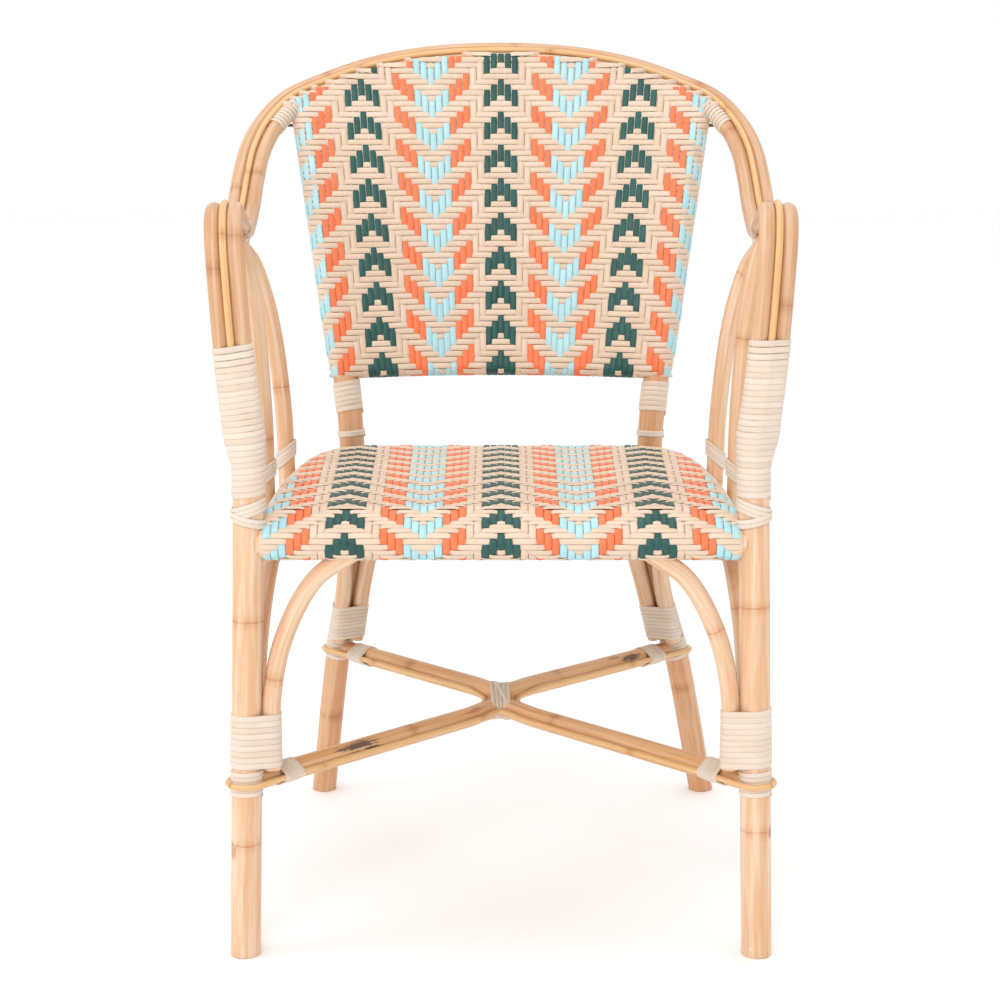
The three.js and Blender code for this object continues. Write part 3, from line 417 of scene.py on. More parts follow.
# Seat frame: two straight rails at the front, which the weave rolls over, and one bent bow for
# both sides and the rear. The weave covers them, so only their undersides and ends show.
BOW_RADIUS = 0.012
bow_half = [
    (0.2109, -0.2487, 0.4241), (0.212, -0.1715, 0.4241), (0.2112, -0.1259, 0.4241),
    (0.2071, -0.0609, 0.4241), (0.202, -0.0058, 0.4241), (0.1929, 0.0444, 0.4241),
    (0.176, 0.0812, 0.4241), (0.1499, 0.0995, 0.4241), (0.0996, 0.1023, 0.4241),
]
bow_places = both_halves(bow_half, (0, 0.1023, 0.4241))
add_cane("seat_bow", bow_places, BOW_RADIUS, pole_finish, cane_start(16), (), 20)
for name, reach, (y, z), radius, number, sides in (
    ("lower", 0.2284, (-0.2708, 0.4094), 0.014, 17, 22),
    ("upper", 0.212, (-0.2487, 0.4241), 0.012, 18, 20),
):
    places = both_halves([(-reach, y, z)], (0, y, z))
    add_cane(f"seat_front_rail_{name}", places, radius, pole_finish, cane_start(number), (), sides)


# Lower rail of the back: a thin cane bowed to the rear between the two side poles.
BACK_RAIL_RADIUS = 0.009
back_rail_places = both_halves(
    [(-0.1685, 0.1336, 0.52), (-0.0842, 0.1561, 0.52)], (0, 0.1636, 0.52)
)
add_cane("back_lower_rail", back_rail_places, BACK_RAIL_RADIUS, pole_finish, cane_start(19), (), 18)


# Stretchers: two bent poles that run from leg to leg and touch back to back in the middle, where
# a screw holds them. Both carry grey and brown stains that run along the cane.
stretcher_starts = {"front": cane_start(21, 0.21), "rear": cane_start(22, 0.13)}
stain_marks = [
    (stretcher_starts["front"] + 0.134, 0.38, 0.034, 0.10, (96, 78, 70), 0.95),
    (stretcher_starts["front"] + 0.152, 0.47, 0.018, 0.035, (82, 60, 50), 0.9),
    (stretcher_starts["front"] + 0.300, 0.36, 0.016, 0.06, (172, 100, 70), 0.6),
    (stretcher_starts["rear"] + 0.463, 0.40, 0.024, 0.09, (92, 72, 56), 0.95),
    (stretcher_starts["rear"] + 0.440, 0.33, 0.022, 0.05, (170, 112, 76), 0.6),
]
# Painted shade: besides the real stains, the stretchers' bark is painted darker than the front legs',
# for the shade they lie in under the seat.
stretcher_stain_and_shade_finish = cane_material(
    "rattan_stretcher_stains_and_shade", (226, 184, 138), (212, 157, 104), (179, 121, 74), marks=stain_marks
)
STRETCHER_RADIUS = 0.0105
stretcher_places = {
    "front": both_halves(
        [
            (-0.2433, -0.2707, 0.1744), (-0.1703, -0.1979, 0.1746), (-0.0973, -0.125, 0.1748),
            (-0.0389, -0.0667, 0.1749),
        ],
        (0, -0.0277, 0.175),
    ),
    "rear": [
        (-0.1895, 0.1785, 0.1863), (-0.1327, 0.122, 0.1862), (-0.0758, 0.0656, 0.1861),
        (-0.0303, 0.0205, 0.186), (0, -0.0097, 0.186), (0.0326, 0.0205, 0.1859),
        (0.0814, 0.0657, 0.1856), (0.1424, 0.1222, 0.1854), (0.2035, 0.1787, 0.1851),
    ],
}
for row, places in stretcher_places.items():
    add_cane(f"stretcher_{row}", places, STRETCHER_RADIUS, stretcher_stain_and_shade_finish, stretcher_starts[row])


# Screw through the middle of the cross: plain steel, its head sunk under the binding.
screw_finish, screw_surface, screw_along, screw_turn = new_material("screw_steel")
screw_place = screw_along.vector(screw_along * 900.0, screw_turn, 0.0)
screw_scratches = screw_along.noise(screw_place, 1.0, 3.0)
connect(
    screw_surface,
    Base_Color=screw_scratches.towards(paint(150, 150, 148), paint(196, 196, 192)),
    Roughness=screw_scratches * 0.2 + 0.3,
)
screw_surface.inputs["Metallic"].default_value = 1.0
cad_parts["stretcher_screw"].data.materials.clear()
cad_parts["stretcher_screw"].data.materials.append(screw_finish)


# Thin canes: one in each gap of the cross. Each hugs a leg, runs along a stretcher to the middle
# and out again along the next one.
THIN_RADIUS = 0.003
thin_side_front = [
    (0.2568, -0.2826, 0.1744), (0.2604, -0.2763, 0.1744), (0.2611, -0.2679, 0.1744),
    (0.2579, -0.2601, 0.1744), (0.2515, -0.2547, 0.1744), (0.1947, -0.2022, 0.1745),
    (0.1434, -0.151, 0.1747), (0.0921, -0.0998, 0.1748), (0.0444, -0.0517, 0.1749),
    (0.0171, -0.0187, 0.1805),
]
thin_places = {
    "front": both_halves(
        [
            (-0.2552, -0.2842, 0.1744), (-0.2489, -0.2878, 0.1744), (-0.2405, -0.2885, 0.1744),
            (-0.2327, -0.2853, 0.1744), (-0.2273, -0.2789, 0.1744), (-0.1747, -0.2222, 0.1745),
            (-0.1234, -0.171, 0.1747), (-0.0722, -0.1198, 0.1748), (-0.0228, -0.0698, 0.1749),
        ],
        (0, -0.0419, 0.175),
    ),
    "rear": [
        (-0.201, 0.1914, 0.1863), (-0.1949, 0.1949, 0.1863), (-0.1869, 0.1956, 0.1863),
        (-0.1794, 0.1925, 0.1863), (-0.1742, 0.1864, 0.1863), (-0.1331, 0.1423, 0.1862),
        (-0.0924, 0.1019, 0.1862), (-0.0516, 0.0615, 0.1862), (-0.0123, 0.0211, 0.186),
        (0, 0.0045, 0.186), (0.0212, 0.0291, 0.1859), (0.0616, 0.0666, 0.1857),
        (0.1037, 0.1056, 0.1855), (0.1458, 0.1445, 0.1853), (0.1884, 0.1872, 0.1851),
        (0.1938, 0.1931, 0.1851), (0.2014, 0.1959, 0.1851), (0.2094, 0.195, 0.1851),
        (0.2154, 0.1913, 0.1851),
    ],
    "left": [
        *mirrored(thin_side_front, -1), (-0.0345, 0.0038, 0.186), (-0.0715, 0.0415, 0.1861),
        (-0.1122, 0.0819, 0.1862), (-0.1529, 0.1223, 0.1862), (-0.1973, 0.163, 0.1863),
        (-0.2035, 0.1682, 0.1863), (-0.2066, 0.1757, 0.1863), (-0.206, 0.1838, 0.1863),
        (-0.2026, 0.1899, 0.1863),
    ],
    "right": [
        *thin_side_front, (0.041, 0.0091, 0.1859), (0.0807, 0.0459, 0.1857),
        (0.1228, 0.0849, 0.1855), (0.1649, 0.1238, 0.1853), (0.2107, 0.163, 0.1851),
        (0.217, 0.168, 0.1851), (0.2204, 0.1754, 0.1851), (0.2201, 0.1834, 0.1851),
        (0.2169, 0.1897, 0.1851),
    ],
}
for i, (place, places) in enumerate(thin_places.items()):
    add_cane(f"stretcher_cane_{place}", places, THIN_RADIUS, binder_finish, cane_start(24 + i), (), 12)


# Braces: thin canes bent from the low bindings of each leg up to the seat frame, two to a leg.
BRACE_RADIUS = 0.009
front_braces = {
    "front_brace": [
        (0.2189, -0.2707, 0.188), (0.2167, -0.2707, 0.2655), (0.2027, -0.2707, 0.323),
        (0.1743, -0.2708, 0.3739), (0.138, -0.2708, 0.4),
    ],
    "front_side_brace": [
        (0.2364, -0.2476, 0.188), (0.2345, -0.2475, 0.2706), (0.2297, -0.2335, 0.332),
        (0.2215, -0.2023, 0.3863), (0.212, -0.1607, 0.4181),
    ],
}
rear_braces = {
    "left": {
        "rear_brace": [
            (0.1685, 0.1605, 0.203), (0.1556, 0.1452, 0.2804), (0.1412, 0.1295, 0.3379),
            (0.1202, 0.1138, 0.3887), (0.096, 0.1023, 0.4181),
        ],
        "rear_side_brace": [
            (0.1885, 0.1518, 0.203), (0.1784, 0.1358, 0.2804), (0.1787, 0.1065, 0.3379),
            (0.1868, 0.062, 0.3887), (0.1992, 0.0143, 0.4181),
        ],
    },
    "right": {
        "rear_brace": [
            (0.1794, 0.1615, 0.203), (0.1597, 0.1458, 0.2804), (0.1421, 0.1295, 0.3379),
            (0.1203, 0.1138, 0.3887), (0.096, 0.1023, 0.4181),
        ],
        "rear_side_brace": [
            (0.1985, 0.1516, 0.203), (0.1822, 0.1358, 0.2804), (0.1796, 0.1062, 0.3379),
            (0.1869, 0.062, 0.3887), (0.1992, 0.0143, 0.4181),
        ],
    },
}
braces = [
    (f"{name}_{hand}", mirrored(places, side))
    for hand, side in SIDES
    for name, places in {**front_braces, **rear_braces[hand]}.items()
]
for i, (name, places) in enumerate(braces):
    add_cane(name, places, BRACE_RADIUS, pole_finish, cane_start(29 + i, 0.09 + 0.012 * i), (), 20)


# Woven strands: flat plastic strands with a fine drawn grain and a soft gloss. Those that run from
# front to back, or up the back, change colour across the panel, and the crossing ones are cream.
def strand_material(name, colour, deep, light):
    material, surface, along, across = new_material(name)
    number = along.math("FLOOR", along * 0.1)
    tone = along.node("ShaderNodeTexWhiteNoise", {"noise_dimensions": "1D"}, {"W": number})
    drawn = along.noise(along.vector(along * 30.0, across * 16.0, number), 1.0, 3.0)
    patches = along.noise(along.vector(along * 24.0, number * 3.7, 0.0), 1.0, 2.0)
    base = (tone * 0.4 + patches.ease(0.35, 0.65) * 0.4).towards(paint(*colour), paint(*light))
    base = (drawn.ease(0.52, 0.8) * 0.5).towards(base, paint(*deep))
    # Painted shade: each strand is painted darker towards its long edges, for the shade in the gaps
    # between neighbouring strands. The same distance from the middle also roughens the edges a little.
    rim = along.math("ABSOLUTE", across - 0.5)
    base = (rim.ease(0.16, 0.27) * 0.85).towards(base, paint(*(0.72 * value for value in deep)))
    finish_surface(surface, base, drawn * 0.15 + rim * 0.1 + 0.36, drawn, 0.0002, 0.5)
    return material


strand_finishes = {
    "cream": strand_material("strand_cream", (213, 187, 162), (191, 160, 128), (225, 203, 182)),
    "orange": strand_material("strand_orange", (240, 112, 64), (216, 86, 44), (245, 130, 86)),
    "blue": strand_material("strand_blue", (164, 208, 214), (132, 184, 194), (184, 222, 228)),
    "green": strand_material("strand_green", (22, 74, 68), (10, 54, 48), (40, 92, 86)),
}
TWILL_REPEAT = 20
TWILL_PERIOD = 6
TWILL_FLOAT = 3
HALF_COLUMNS = 30
WEAVE_COVER = 0.0016
END_LIFT = 0.0004


def fold_of(column):
    """Columns between this one and the middle of its chevron."""
    rest = column % TWILL_REPEAT
    return min(rest, TWILL_REPEAT - rest)


def strand_colour(column):
    fold = fold_of(column)
    if fold <= 2:
        return "green"
    if fold <= 4:
        return "cream"
    return "orange" if fold <= 7 else "blue"


def column_on_top(column, row):
    """Rows count away from the point of the chevron."""
    return (row - fold_of(column)) % TWILL_PERIOD < TWILL_FLOAT


def lift_at(column, row, column_side):
    """1 where the strand on this side of the weave is on top, -1 where it is below. Halfway
    between two crossings it is the mean of both."""
    columns = {floor(column), ceil(column)}
    rows = {floor(row), ceil(row)}
    tops = [column_on_top(c, r) == column_side for c in columns for r in rows]
    return 2 * sum(tops) / len(tops) - 1


def strand_section(width, thickness):
    """A flat strand with rounded edges and a slightly crowned top."""
    half = width / 2
    return [
        (0, -0.5 * thickness), (-0.42 * width, -0.45 * thickness), (-half, -0.05 * thickness),
        (-0.4 * width, 0.36 * thickness), (0, 0.5 * thickness), (0.4 * width, 0.36 * thickness),
        (half, -0.05 * thickness), (0.42 * width, -0.45 * thickness),
    ]


def lay_strand(bm, path, section, number):
    """path holds (place, normal, lift) along one strand, which rises and dives by its lift."""
    line = [place + normal * lift for place, normal, lift in path]
    lay(bm, line, [normal for place, normal, lift in path], section, number * 10.0)


def lay_columns(panel, path_of, section, first_number):
    """The coloured strands of a panel, as one piece for each colour."""
    for colour, finish in strand_finishes.items():
        bm = bmesh.new()
        for column in range(-HALF_COLUMNS, HALF_COLUMNS + 1):
            if strand_colour(column) == colour:
                lay_strand(bm, path_of(column), section, column + first_number)
        finish_piece(bm, f"{panel}_{colour}_strands", finish, "weave", f"{panel}_weave")


def between(rows, key, value, *wanted):
    """Reads the wanted axes of a line of places where its key axis has a value."""
    rows = sorted(rows, key=lambda place: place[key])
    for low, high in zip(rows, rows[1:]):
        if low[key] <= value <= high[key]:
            share = (value - low[key]) / max(1e-9, high[key] - low[key])
            return [low[axis] + (high[axis] - low[axis]) * share for axis in wanted]
    end = rows[0] if value < rows[0][key] else rows[-1]
    return [end[axis] for axis in wanted]


def place_at(line, height):
    """Where a line passes a height."""
    return Vector(between(line, 2, height, 0, 1) + [height])


def read_table(table, share):
    share = min(max(share, 0.0), len(table) - 1.001)
    whole = int(share)
    rest = share - whole
    return [a + (b - a) * rest for a, b in zip(table[whole], table[whole + 1])]


# Seat panel: the coloured strands come from under the lower front rail, run taut over both front
# rails, cross the seat and turn down over the rear of the bow. The cream ones turn down over its
# sides. The weaver packed the rows closer at the front and the rear than between.
LOWER_RAIL = Vector((0, -0.2708, 0.4094))
UPPER_RAIL = Vector((0, -0.2487, 0.4241))
LOWER_SKIN = 0.0157
UPPER_SKIN = 0.0137
SKIN_REACH = 0.0137
FRONT_EDGE = 0.2198
FRONT_REACH = 0.0062
SEAT_STRAND = strand_section(0.0056, 0.0014)
SEAT_COLUMN = strand_section(0.0070, 0.0013)
SEAT_LIFT = 0.001
SEAT_CHEVRON_TOPS = [
    0.0526, 0.0844, 0.1301, 0.1765, 0.2236, 0.2601, 0.2950, 0.3280, 0.3588, 0.3931, 0.4232, 0.4550
]
rail_gap = UPPER_RAIL - LOWER_RAIL
taut_length = sqrt(rail_gap.length ** 2 - (LOWER_SKIN - UPPER_SKIN) ** 2)
taut_angle = (
    atan2(rail_gap.z, rail_gap.y) + pi / 2
    - asin((LOWER_SKIN - UPPER_SKIN) / rail_gap.length)
)
hem_angle = radians(330)
under_length = (hem_angle - taut_angle) * LOWER_SKIN
bend_length = (taut_angle - pi / 2) * UPPER_SKIN
flat_start = under_length + taut_length + bend_length
bow_line = smooth_line(bow_places, 0.002)
bow_half_line = [place for place in bow_line if place.x >= 0]
BOW_STEP = 0.004
BOW_NEAR = 0.003
BOW_REAR = 0.1022
MOST_STRETCH = 2.2
SEAT_PITCH = 0.00727
SEAT_SPREAD = 0.0000016
SEAT_DEPTH = 0.349
FIRST_SEAT_ROW = -7
HEM_ROW_GAP = 0.0053
bow_widths = []
for i in range(89):
    depth = UPPER_RAIL.y + BOW_STEP * i
    near = [place.x for place in bow_half_line if abs(place.y - depth) < BOW_NEAR]
    bow_widths.append([max(near, default=0.15)])
bow_depths = []
for i in range(55):
    near = [place.y for place in bow_half_line if abs(place.x - BOW_STEP * i) < BOW_NEAR]
    bow_depths.append([max(near, default=-0.2)])


def turned(angle):
    return Vector((0, cos(angle), sin(angle)))


def seat_profile(run):
    """Place and outward direction in the middle of the seat, run metres back from its hem."""
    if run < under_length:
        out = turned(hem_angle - run / LOWER_SKIN)
        return LOWER_RAIL + out * LOWER_SKIN, out
    out = turned(taut_angle)
    if run < under_length + taut_length:
        share = (run - under_length) / taut_length
        return (LOWER_RAIL + out * LOWER_SKIN).lerp(UPPER_RAIL + out * UPPER_SKIN, share), out
    if run < flat_start:
        out = turned(taut_angle - (run - under_length - taut_length) / UPPER_SKIN)
        return UPPER_RAIL + out * UPPER_SKIN, out
    return UPPER_RAIL + Vector((0, run - flat_start, UPPER_SKIN)), Vector((0, 0, 1))


def bow_x(y):
    """Half the width between the bow's centre lines at a depth."""
    return read_table(bow_widths, (y - UPPER_RAIL.y) / BOW_STEP)[0]


def bow_y(x):
    """Depth of the rear of the bow's centre line at a place across."""
    return read_table(bow_depths, abs(x) / BOW_STEP)[0]


def edge_stretch(edge_at, place):
    """How much further a strand reaches over the bow where the bow runs at a slant to it."""
    slant = (edge_at(place - BOW_STEP) - edge_at(place + BOW_STEP)) / (2 * BOW_STEP)
    return min(MOST_STRETCH, hypot(1.0, slant))


def seat_row_run(row):
    """Rows count from the front. The middle strand of a chevron dives between rows 0 and 1."""
    place = (row - 0.5) / TWILL_PERIOD
    if place < 0:
        return SEAT_CHEVRON_TOPS[0] + (row - 0.5) * HEM_ROW_GAP
    return read_table([[top] for top in SEAT_CHEVRON_TOPS], place)[0]


def seat_column_x(column, run):
    """The columns spread a little towards the rear."""
    return column * (SEAT_PITCH + SEAT_SPREAD * max(0.0, run - flat_start) * 1000)


def past_edge(x, edge, middle, out, reach):
    """Where a strand lies once it has turned down over the side."""
    turn = min(1.35, (abs(x) - edge) / reach)
    side = copysign(1, x)
    place = Vector((side * (edge + reach * sin(turn)), 0, 0)) + middle
    normal = (Vector((side * sin(turn), 0, 0)) + out * cos(turn)).normalized()
    return place - out * reach * (1 - cos(turn)), normal


def seat_edge(run, middle):
    """Where the seat starts to turn down at its side, and how wide that turn is."""
    return (bow_x(middle.y), SKIN_REACH) if run > flat_start else (FRONT_EDGE, FRONT_REACH)


def seat_row_path(row):
    run = seat_row_run(row)
    middle, out = seat_profile(run)
    edge, reach = seat_edge(run, middle)
    stretch = edge_stretch(bow_x, middle.y) if run > flat_start + 0.01 else 1.0
    ends = []
    for turn_step in range(1, 10):
        turn = turn_step * radians(17)
        ends.append((edge + reach * stretch * sin(turn), reach * (1 - cos(turn)), turn))

    def end_place(side, x, drop, turn):
        normal = (Vector((side * sin(turn), 0, 0)) + out * cos(turn)).normalized()
        return Vector((side * x, 0, 0)) + middle - out * drop, normal, END_LIFT

    path = [end_place(-1, *end) for end in reversed(ends)]
    for half in range(-64, 65):
        x = seat_column_x(half / 2, run)
        if abs(x) < edge:
            lift = SEAT_LIFT * lift_at(half / 2, -row, False)
            path.append((Vector((x, 0, 0)) + middle, out, lift))
    return path + [end_place(1, *end) for end in ends]


def seat_column_path(column):
    path = []
    half_row = -15
    while True:
        row = half_row / 2
        run = seat_row_run(row)
        middle, out = seat_profile(run)
        x = seat_column_x(column, run)
        if run > flat_start and middle.y > min(bow_y(x), BOW_REAR):
            break
        edge, reach = seat_edge(run, middle)
        place, normal = Vector((x, 0, 0)) + middle, out
        if abs(x) > edge:
            place, normal = past_edge(x, edge, middle, out, reach)
        path.append((place, normal, SEAT_LIFT * lift_at(column, -row, True)))
        half_row += 1
    last = path[-1][0]
    if abs(last.x) < 0.19:
        stretch = edge_stretch(bow_y, abs(last.x))
        for turn_step in range(1, 9):
            turn = turn_step * radians(18)
            shift = Vector((
                0, SKIN_REACH * stretch * sin(turn), -SKIN_REACH * (1 - cos(turn))
            ))
            path.append((last + shift, Vector((0, sin(turn), cos(turn))), END_LIFT))
    return path


bm = bmesh.new()
row = FIRST_SEAT_ROW
while seat_row_run(row) < flat_start + SEAT_DEPTH:
    lay_strand(bm, seat_row_path(row), SEAT_STRAND, row + 10)
    row += 1
finish_piece(bm, "seat_cross_strands", strand_finishes["cream"], "weave", "seat_weave")
lay_columns("seat", seat_column_path, SEAT_COLUMN, 140)


# Back panel: the coloured strands hang from the inner cane of the hoop and turn under the lower
# rail. The cream ones run level and turn round the side poles, or the hoop above them.
BACK_STRAND = strand_section(0.0063, 0.0014)
BACK_COLUMN = strand_section(0.0069, 0.0013)
BACK_LIFT = 0.0008
RAIL_HEIGHT = 0.520
STILE_SKIN = REAR_LEG_RADIUS + WEAVE_COVER
RAIL_SKIN = BACK_RAIL_RADIUS + WEAVE_COVER
HOOP_SKIN = INNER_RADIUS + WEAVE_COVER
HOOP_COVER = 0.0076
RAIL_REACH = 0.170
CORNER_HEIGHT = 0.8098
CORNER_REACH = 0.224
STILE_END = 0.785
BACK_CHEVRON_TOPS = [
    0.8761, 0.8385, 0.8019, 0.7650, 0.7276, 0.6894, 0.6521, 0.6144, 0.5764, 0.5378, 0.4992
]
LAST_BACK_ROW = 57
BACK_FOOT = 0.48
BACK_STEP = 0.002
inner_top = [place for place in pole_lines["hoop_inner_cane"] if place.x >= 0 and place.z > 0.76]
stile_line = [place for place in pole_lines["rear_leg_right"] if place.z > BACK_FOOT]
rail_line = [place for place in pole_lines["back_lower_rail"] if place.x >= 0]
stile_table = [between(stile_line, 2, BACK_FOOT + BACK_STEP * i, 0, 1) for i in range(180)]
top_table = [between(inner_top, 0, BACK_STEP * i, 1, 2) for i in range(130)]
rail_table = [between(rail_line, 0, BACK_STEP * i, 1) for i in range(100)]


def stile_at(z):
    return read_table(stile_table, (z - BACK_FOOT) / BACK_STEP)


def hoop_at(x):
    return read_table(top_table, abs(x) / BACK_STEP)


def back_front(x, z):
    """Depth of the middle of the woven sheet at a place across and a height."""
    stile_x, stile_y = stile_at(min(z, CORNER_HEIGHT))
    share_x = min(1.0, abs(x) / stile_x)
    rail_y = read_table(rail_table, share_x * RAIL_REACH / BACK_STEP)[0]
    if z < RAIL_HEIGHT:
        return rail_y - sqrt(max(0.0, RAIL_SKIN ** 2 - (RAIL_HEIGHT - z) ** 2))
    hoop_y, hoop_z = hoop_at(share_x * CORNER_REACH if z < CORNER_HEIGHT else x)
    if z > hoop_z:
        return hoop_y - sqrt(max(0.0, HOOP_SKIN ** 2 - (z - hoop_z) ** 2))
    up = (z - RAIL_HEIGHT) / (hoop_z - RAIL_HEIGHT)
    straight = rail_y - RAIL_SKIN + (hoop_y - HOOP_SKIN - rail_y + RAIL_SKIN) * up
    corner_y = stile_at(CORNER_HEIGHT)[1]
    foot_y = stile_at(RAIL_HEIGHT)[1]
    share_z = min(1.0, (z - RAIL_HEIGHT) / (CORNER_HEIGHT - RAIL_HEIGHT))
    sag = stile_y - (foot_y + (corner_y - foot_y) * share_z)
    return straight + sag * share_x ** 2


def back_place(across, z):
    """A place on the woven back. Beyond the side poles, across goes on round them."""
    stile_x = stile_at(z)[0]
    reach = abs(across)
    if reach <= stile_x or z > CORNER_HEIGHT:
        return Vector((across, back_front(across, z), z))
    turn = (reach - stile_x) / STILE_SKIN
    x = stile_x + STILE_SKIN * sin(turn)
    y = back_front(stile_x, z) + STILE_SKIN * (1 - cos(turn))
    return Vector((copysign(x, across), y, z))


def back_normal(across, z, step=0.0008):
    over = back_place(across + step, z) - back_place(across - step, z)
    up = back_place(across, z + step) - back_place(across, z - step)
    return over.cross(up).normalized()


def back_pitch(z):
    return 0.00653 + 0.00442 * (z - 0.507)


def back_row_height(row):
    return read_table([[top] for top in BACK_CHEVRON_TOPS], (row + 0.5) / TWILL_PERIOD)[0]


def back_row_path(row):
    z = back_row_height(row)
    on_stile = z <= STILE_END
    edge = stile_at(z)[0] if on_stile else between(inner_top, 2, z - HOOP_COVER, 0)[0]
    reach = STILE_SKIN if on_stile else HOOP_SKIN
    ends = [turn_step * radians(15) for turn_step in range(1, 11 if on_stile else 7)]

    def end_place(side, turn):
        base = Vector((side * edge, back_front(edge, z), z))
        shift = Vector((side * reach * sin(turn), reach * (1 - cos(turn)), 0))
        return base + shift, Vector((side * sin(turn), -cos(turn), 0)), END_LIFT

    path = [end_place(-1, turn) for turn in reversed(ends)]
    for half in range(-66, 67):
        x = half / 2 * back_pitch(z)
        if abs(x) < edge:
            lift = BACK_LIFT * lift_at(half / 2, row, False)
            path.append((back_place(x, z), back_normal(x, z), lift))
    return path + [end_place(1, turn) for turn in ends]


def back_column_path(column):
    path = []
    for half in range(1, 2 * LAST_BACK_ROW + 2):
        z = back_row_height(half / 2)
        across = column * back_pitch(z)
        top = hoop_at(across)[1] + HOOP_COVER
        if z <= top:
            lift = BACK_LIFT * lift_at(column, half / 2, True)
            path.append((back_place(across, z), back_normal(across, z), lift))
    top, low = path[0][0], path[-1][0]
    over_normal = Vector((0, -0.2, 1)).normalized()
    under_normal = Vector((0, -0.3, -1)).normalized()
    over, under = [], []
    for i in range(1, 5):
        over_shift = Vector((0, 0.002 * i, 0.0012 - 0.0008 * i * i))
        under_shift = Vector((0, 0.0035 * i, -0.0028 * i + 0.0008 * i * i))
        over.append((top + over_shift, over_normal, 0))
        under.append((low + under_shift, under_normal, 0))
    return [*reversed(over), *path, *under]


bm = bmesh.new()
for row in range(1, LAST_BACK_ROW + 1):
    lay_strand(bm, back_row_path(row), BACK_STRAND, row + 300)
finish_piece(bm, "back_cross_strands", strand_finishes["cream"], "weave", "back_weave")
lay_columns("back", back_column_path, BACK_COLUMN, 440)


# Arm post bindings: one long strip of peel on each side, wound tightly round the top of the front
# leg, both hoop canes and the binder. Its last three turns at the top lie a little apart.
PEEL_MIDDLE = 3 / 7
PEEL_STEPS = 32
PEEL_STATIONS = 6
LOOSE_TURNS = 3
PEEL_ROOM = 0.0002
UP = Vector((0, 0, 1))


def peel_material(name, colour, deep, light):
    """Cane peel: the shiny outer skin split into strips, with fine lines along the strip, and painted
    shade towards each strip's edges, where the turns meet.
    """
    material, surface, along, across = new_material(name)
    lines = along.noise(along.vector(along * 12.0, across * 22.0, 0.0), 1.0, 3.0)
    turns = along.noise(along.vector(along * 9.0, 0.0, 0.0), 1.0, 2.0)
    base = turns.ease(0.36, 0.64).towards(paint(*colour), paint(*light))
    base = (lines.ease(0.5, 0.78) * 0.5).towards(base, paint(*deep))
    # Painted shade: the strip is painted darker towards its edges, for the shade in the gaps between
    # neighbouring turns.
    edge = along.math("ABSOLUTE", across - PEEL_MIDDLE).ease(0.26, 0.42)
    base = (edge * 0.45).towards(base, paint(*deep))
    finish_surface(surface, base, lines * 0.15 + 0.38, lines, 0.0002, 0.4)
    return material


peel_finish = peel_material("cane_peel", (213, 195, 177), (188, 158, 127), (221, 206, 191))


def crossing(line, origin, axis, within=0.07):
    """Where a line of places passes through a plane, nearest to the plane's origin."""
    best = None
    for here, there in zip(line, line[1:]):
        low = (here - origin).dot(axis)
        high = (there - origin).dot(axis)
        if (low <= 0) != (high <= 0):
            place = here.lerp(there, low / (low - high))
            if (place - origin).length < within:
                best, within = place, (place - origin).length
    return best


def bundle_ring(poles, origin, axis, room):
    """A taut ring round the poles where they pass through a plane."""
    side = Vector((1, 0, 0)) if abs(axis.x) < 0.7 else Vector((0, 1, 0))
    side = (side - side.dot(axis) * axis).normalized()
    front = axis.cross(side)
    flat = []
    for pole in poles:
        place = crossing(pole_lines[pole], origin, axis)
        if place is not None:
            x, y = (place - origin).dot(side), (place - origin).dot(front)
            reach = pole_radii[pole] + room
            flat.extend(
                (x + reach * cos(radians(turn)), y + reach * sin(radians(turn)))
                for turn in range(0, 360, 9)
            )
    middle_x = (min(x for x, y in flat) + max(x for x, y in flat)) / 2
    middle_y = (min(y for x, y in flat) + max(y for x, y in flat)) / 2
    outline = [flat[i] for i in convex_hull_2d(flat)]
    ring = []
    for i in range(PEEL_STEPS):
        way = 2 * pi * i / PEEL_STEPS
        dx, dy = cos(way), sin(way)
        reach = 0.0
        for (ax, ay), (bx, by) in zip(outline, outline[1:] + outline[:1]):
            ex, ey = bx - ax, by - ay
            px, py = ax - middle_x, ay - middle_y
            across = dx * ey - dy * ex
            if abs(across) > 1e-12:
                reach_here = (px * ey - py * ex) / across
                share = (px * dy - py * dx) / across
                if reach_here > 0 and -1e-6 <= share <= 1 + 1e-6:
                    reach = max(reach, reach_here)
        ring.append(origin + side * (middle_x + dx * reach) + front * (middle_y + dy * reach))
    return ring


def peel_section(width, thickness):
    return [
        (-0.5 * width, 0), (-0.46 * width, 0.6 * thickness), (-0.3 * width, 0.95 * thickness),
        (0, thickness), (0.3 * width, 0.95 * thickness), (0.46 * width, 0.6 * thickness),
        (0.5 * width, 0),
    ]


def outward_from(ring_line, axis):
    """The outward direction at each place of a strip that goes round an axis."""
    outs = []
    for i in range(len(ring_line)):
        along = ring_line[min(i + 1, len(ring_line) - 1)] - ring_line[max(i - 1, 0)]
        outs.append(along.cross(axis).normalized())
    return outs


def wind(bm, poles, foot, top, turns, width, thickness=0.0012, loose=0.0):
    """One strip wound round the poles from foot to top. Loose spreads its last three turns."""
    axis = (top - foot).normalized()
    rings = [
        bundle_ring(poles, foot.lerp(top, i / (PEEL_STATIONS - 1)), axis, PEEL_ROOM)
        for i in range(PEEL_STATIONS)
    ]
    line = []
    steps = turns * PEEL_STEPS
    last_turns = LOOSE_TURNS / turns
    tight = 1 - last_turns if loose else 1.0
    for i in range(steps + 1):
        share = i / steps
        if share < tight:
            share *= (1 - last_turns - loose) / tight if loose else 1.0
        elif loose:
            share = 1 - (1 - share) * (last_turns + loose) / last_turns
        station = min(share * (PEEL_STATIONS - 1), PEEL_STATIONS - 1.001)
        whole = int(station)
        slot = i % PEEL_STEPS
        line.append(rings[whole][slot].lerp(rings[whole + 1][slot], station - whole))
    lay(bm, line, outward_from(line, axis), peel_section(width, thickness), 0.37 * turns)


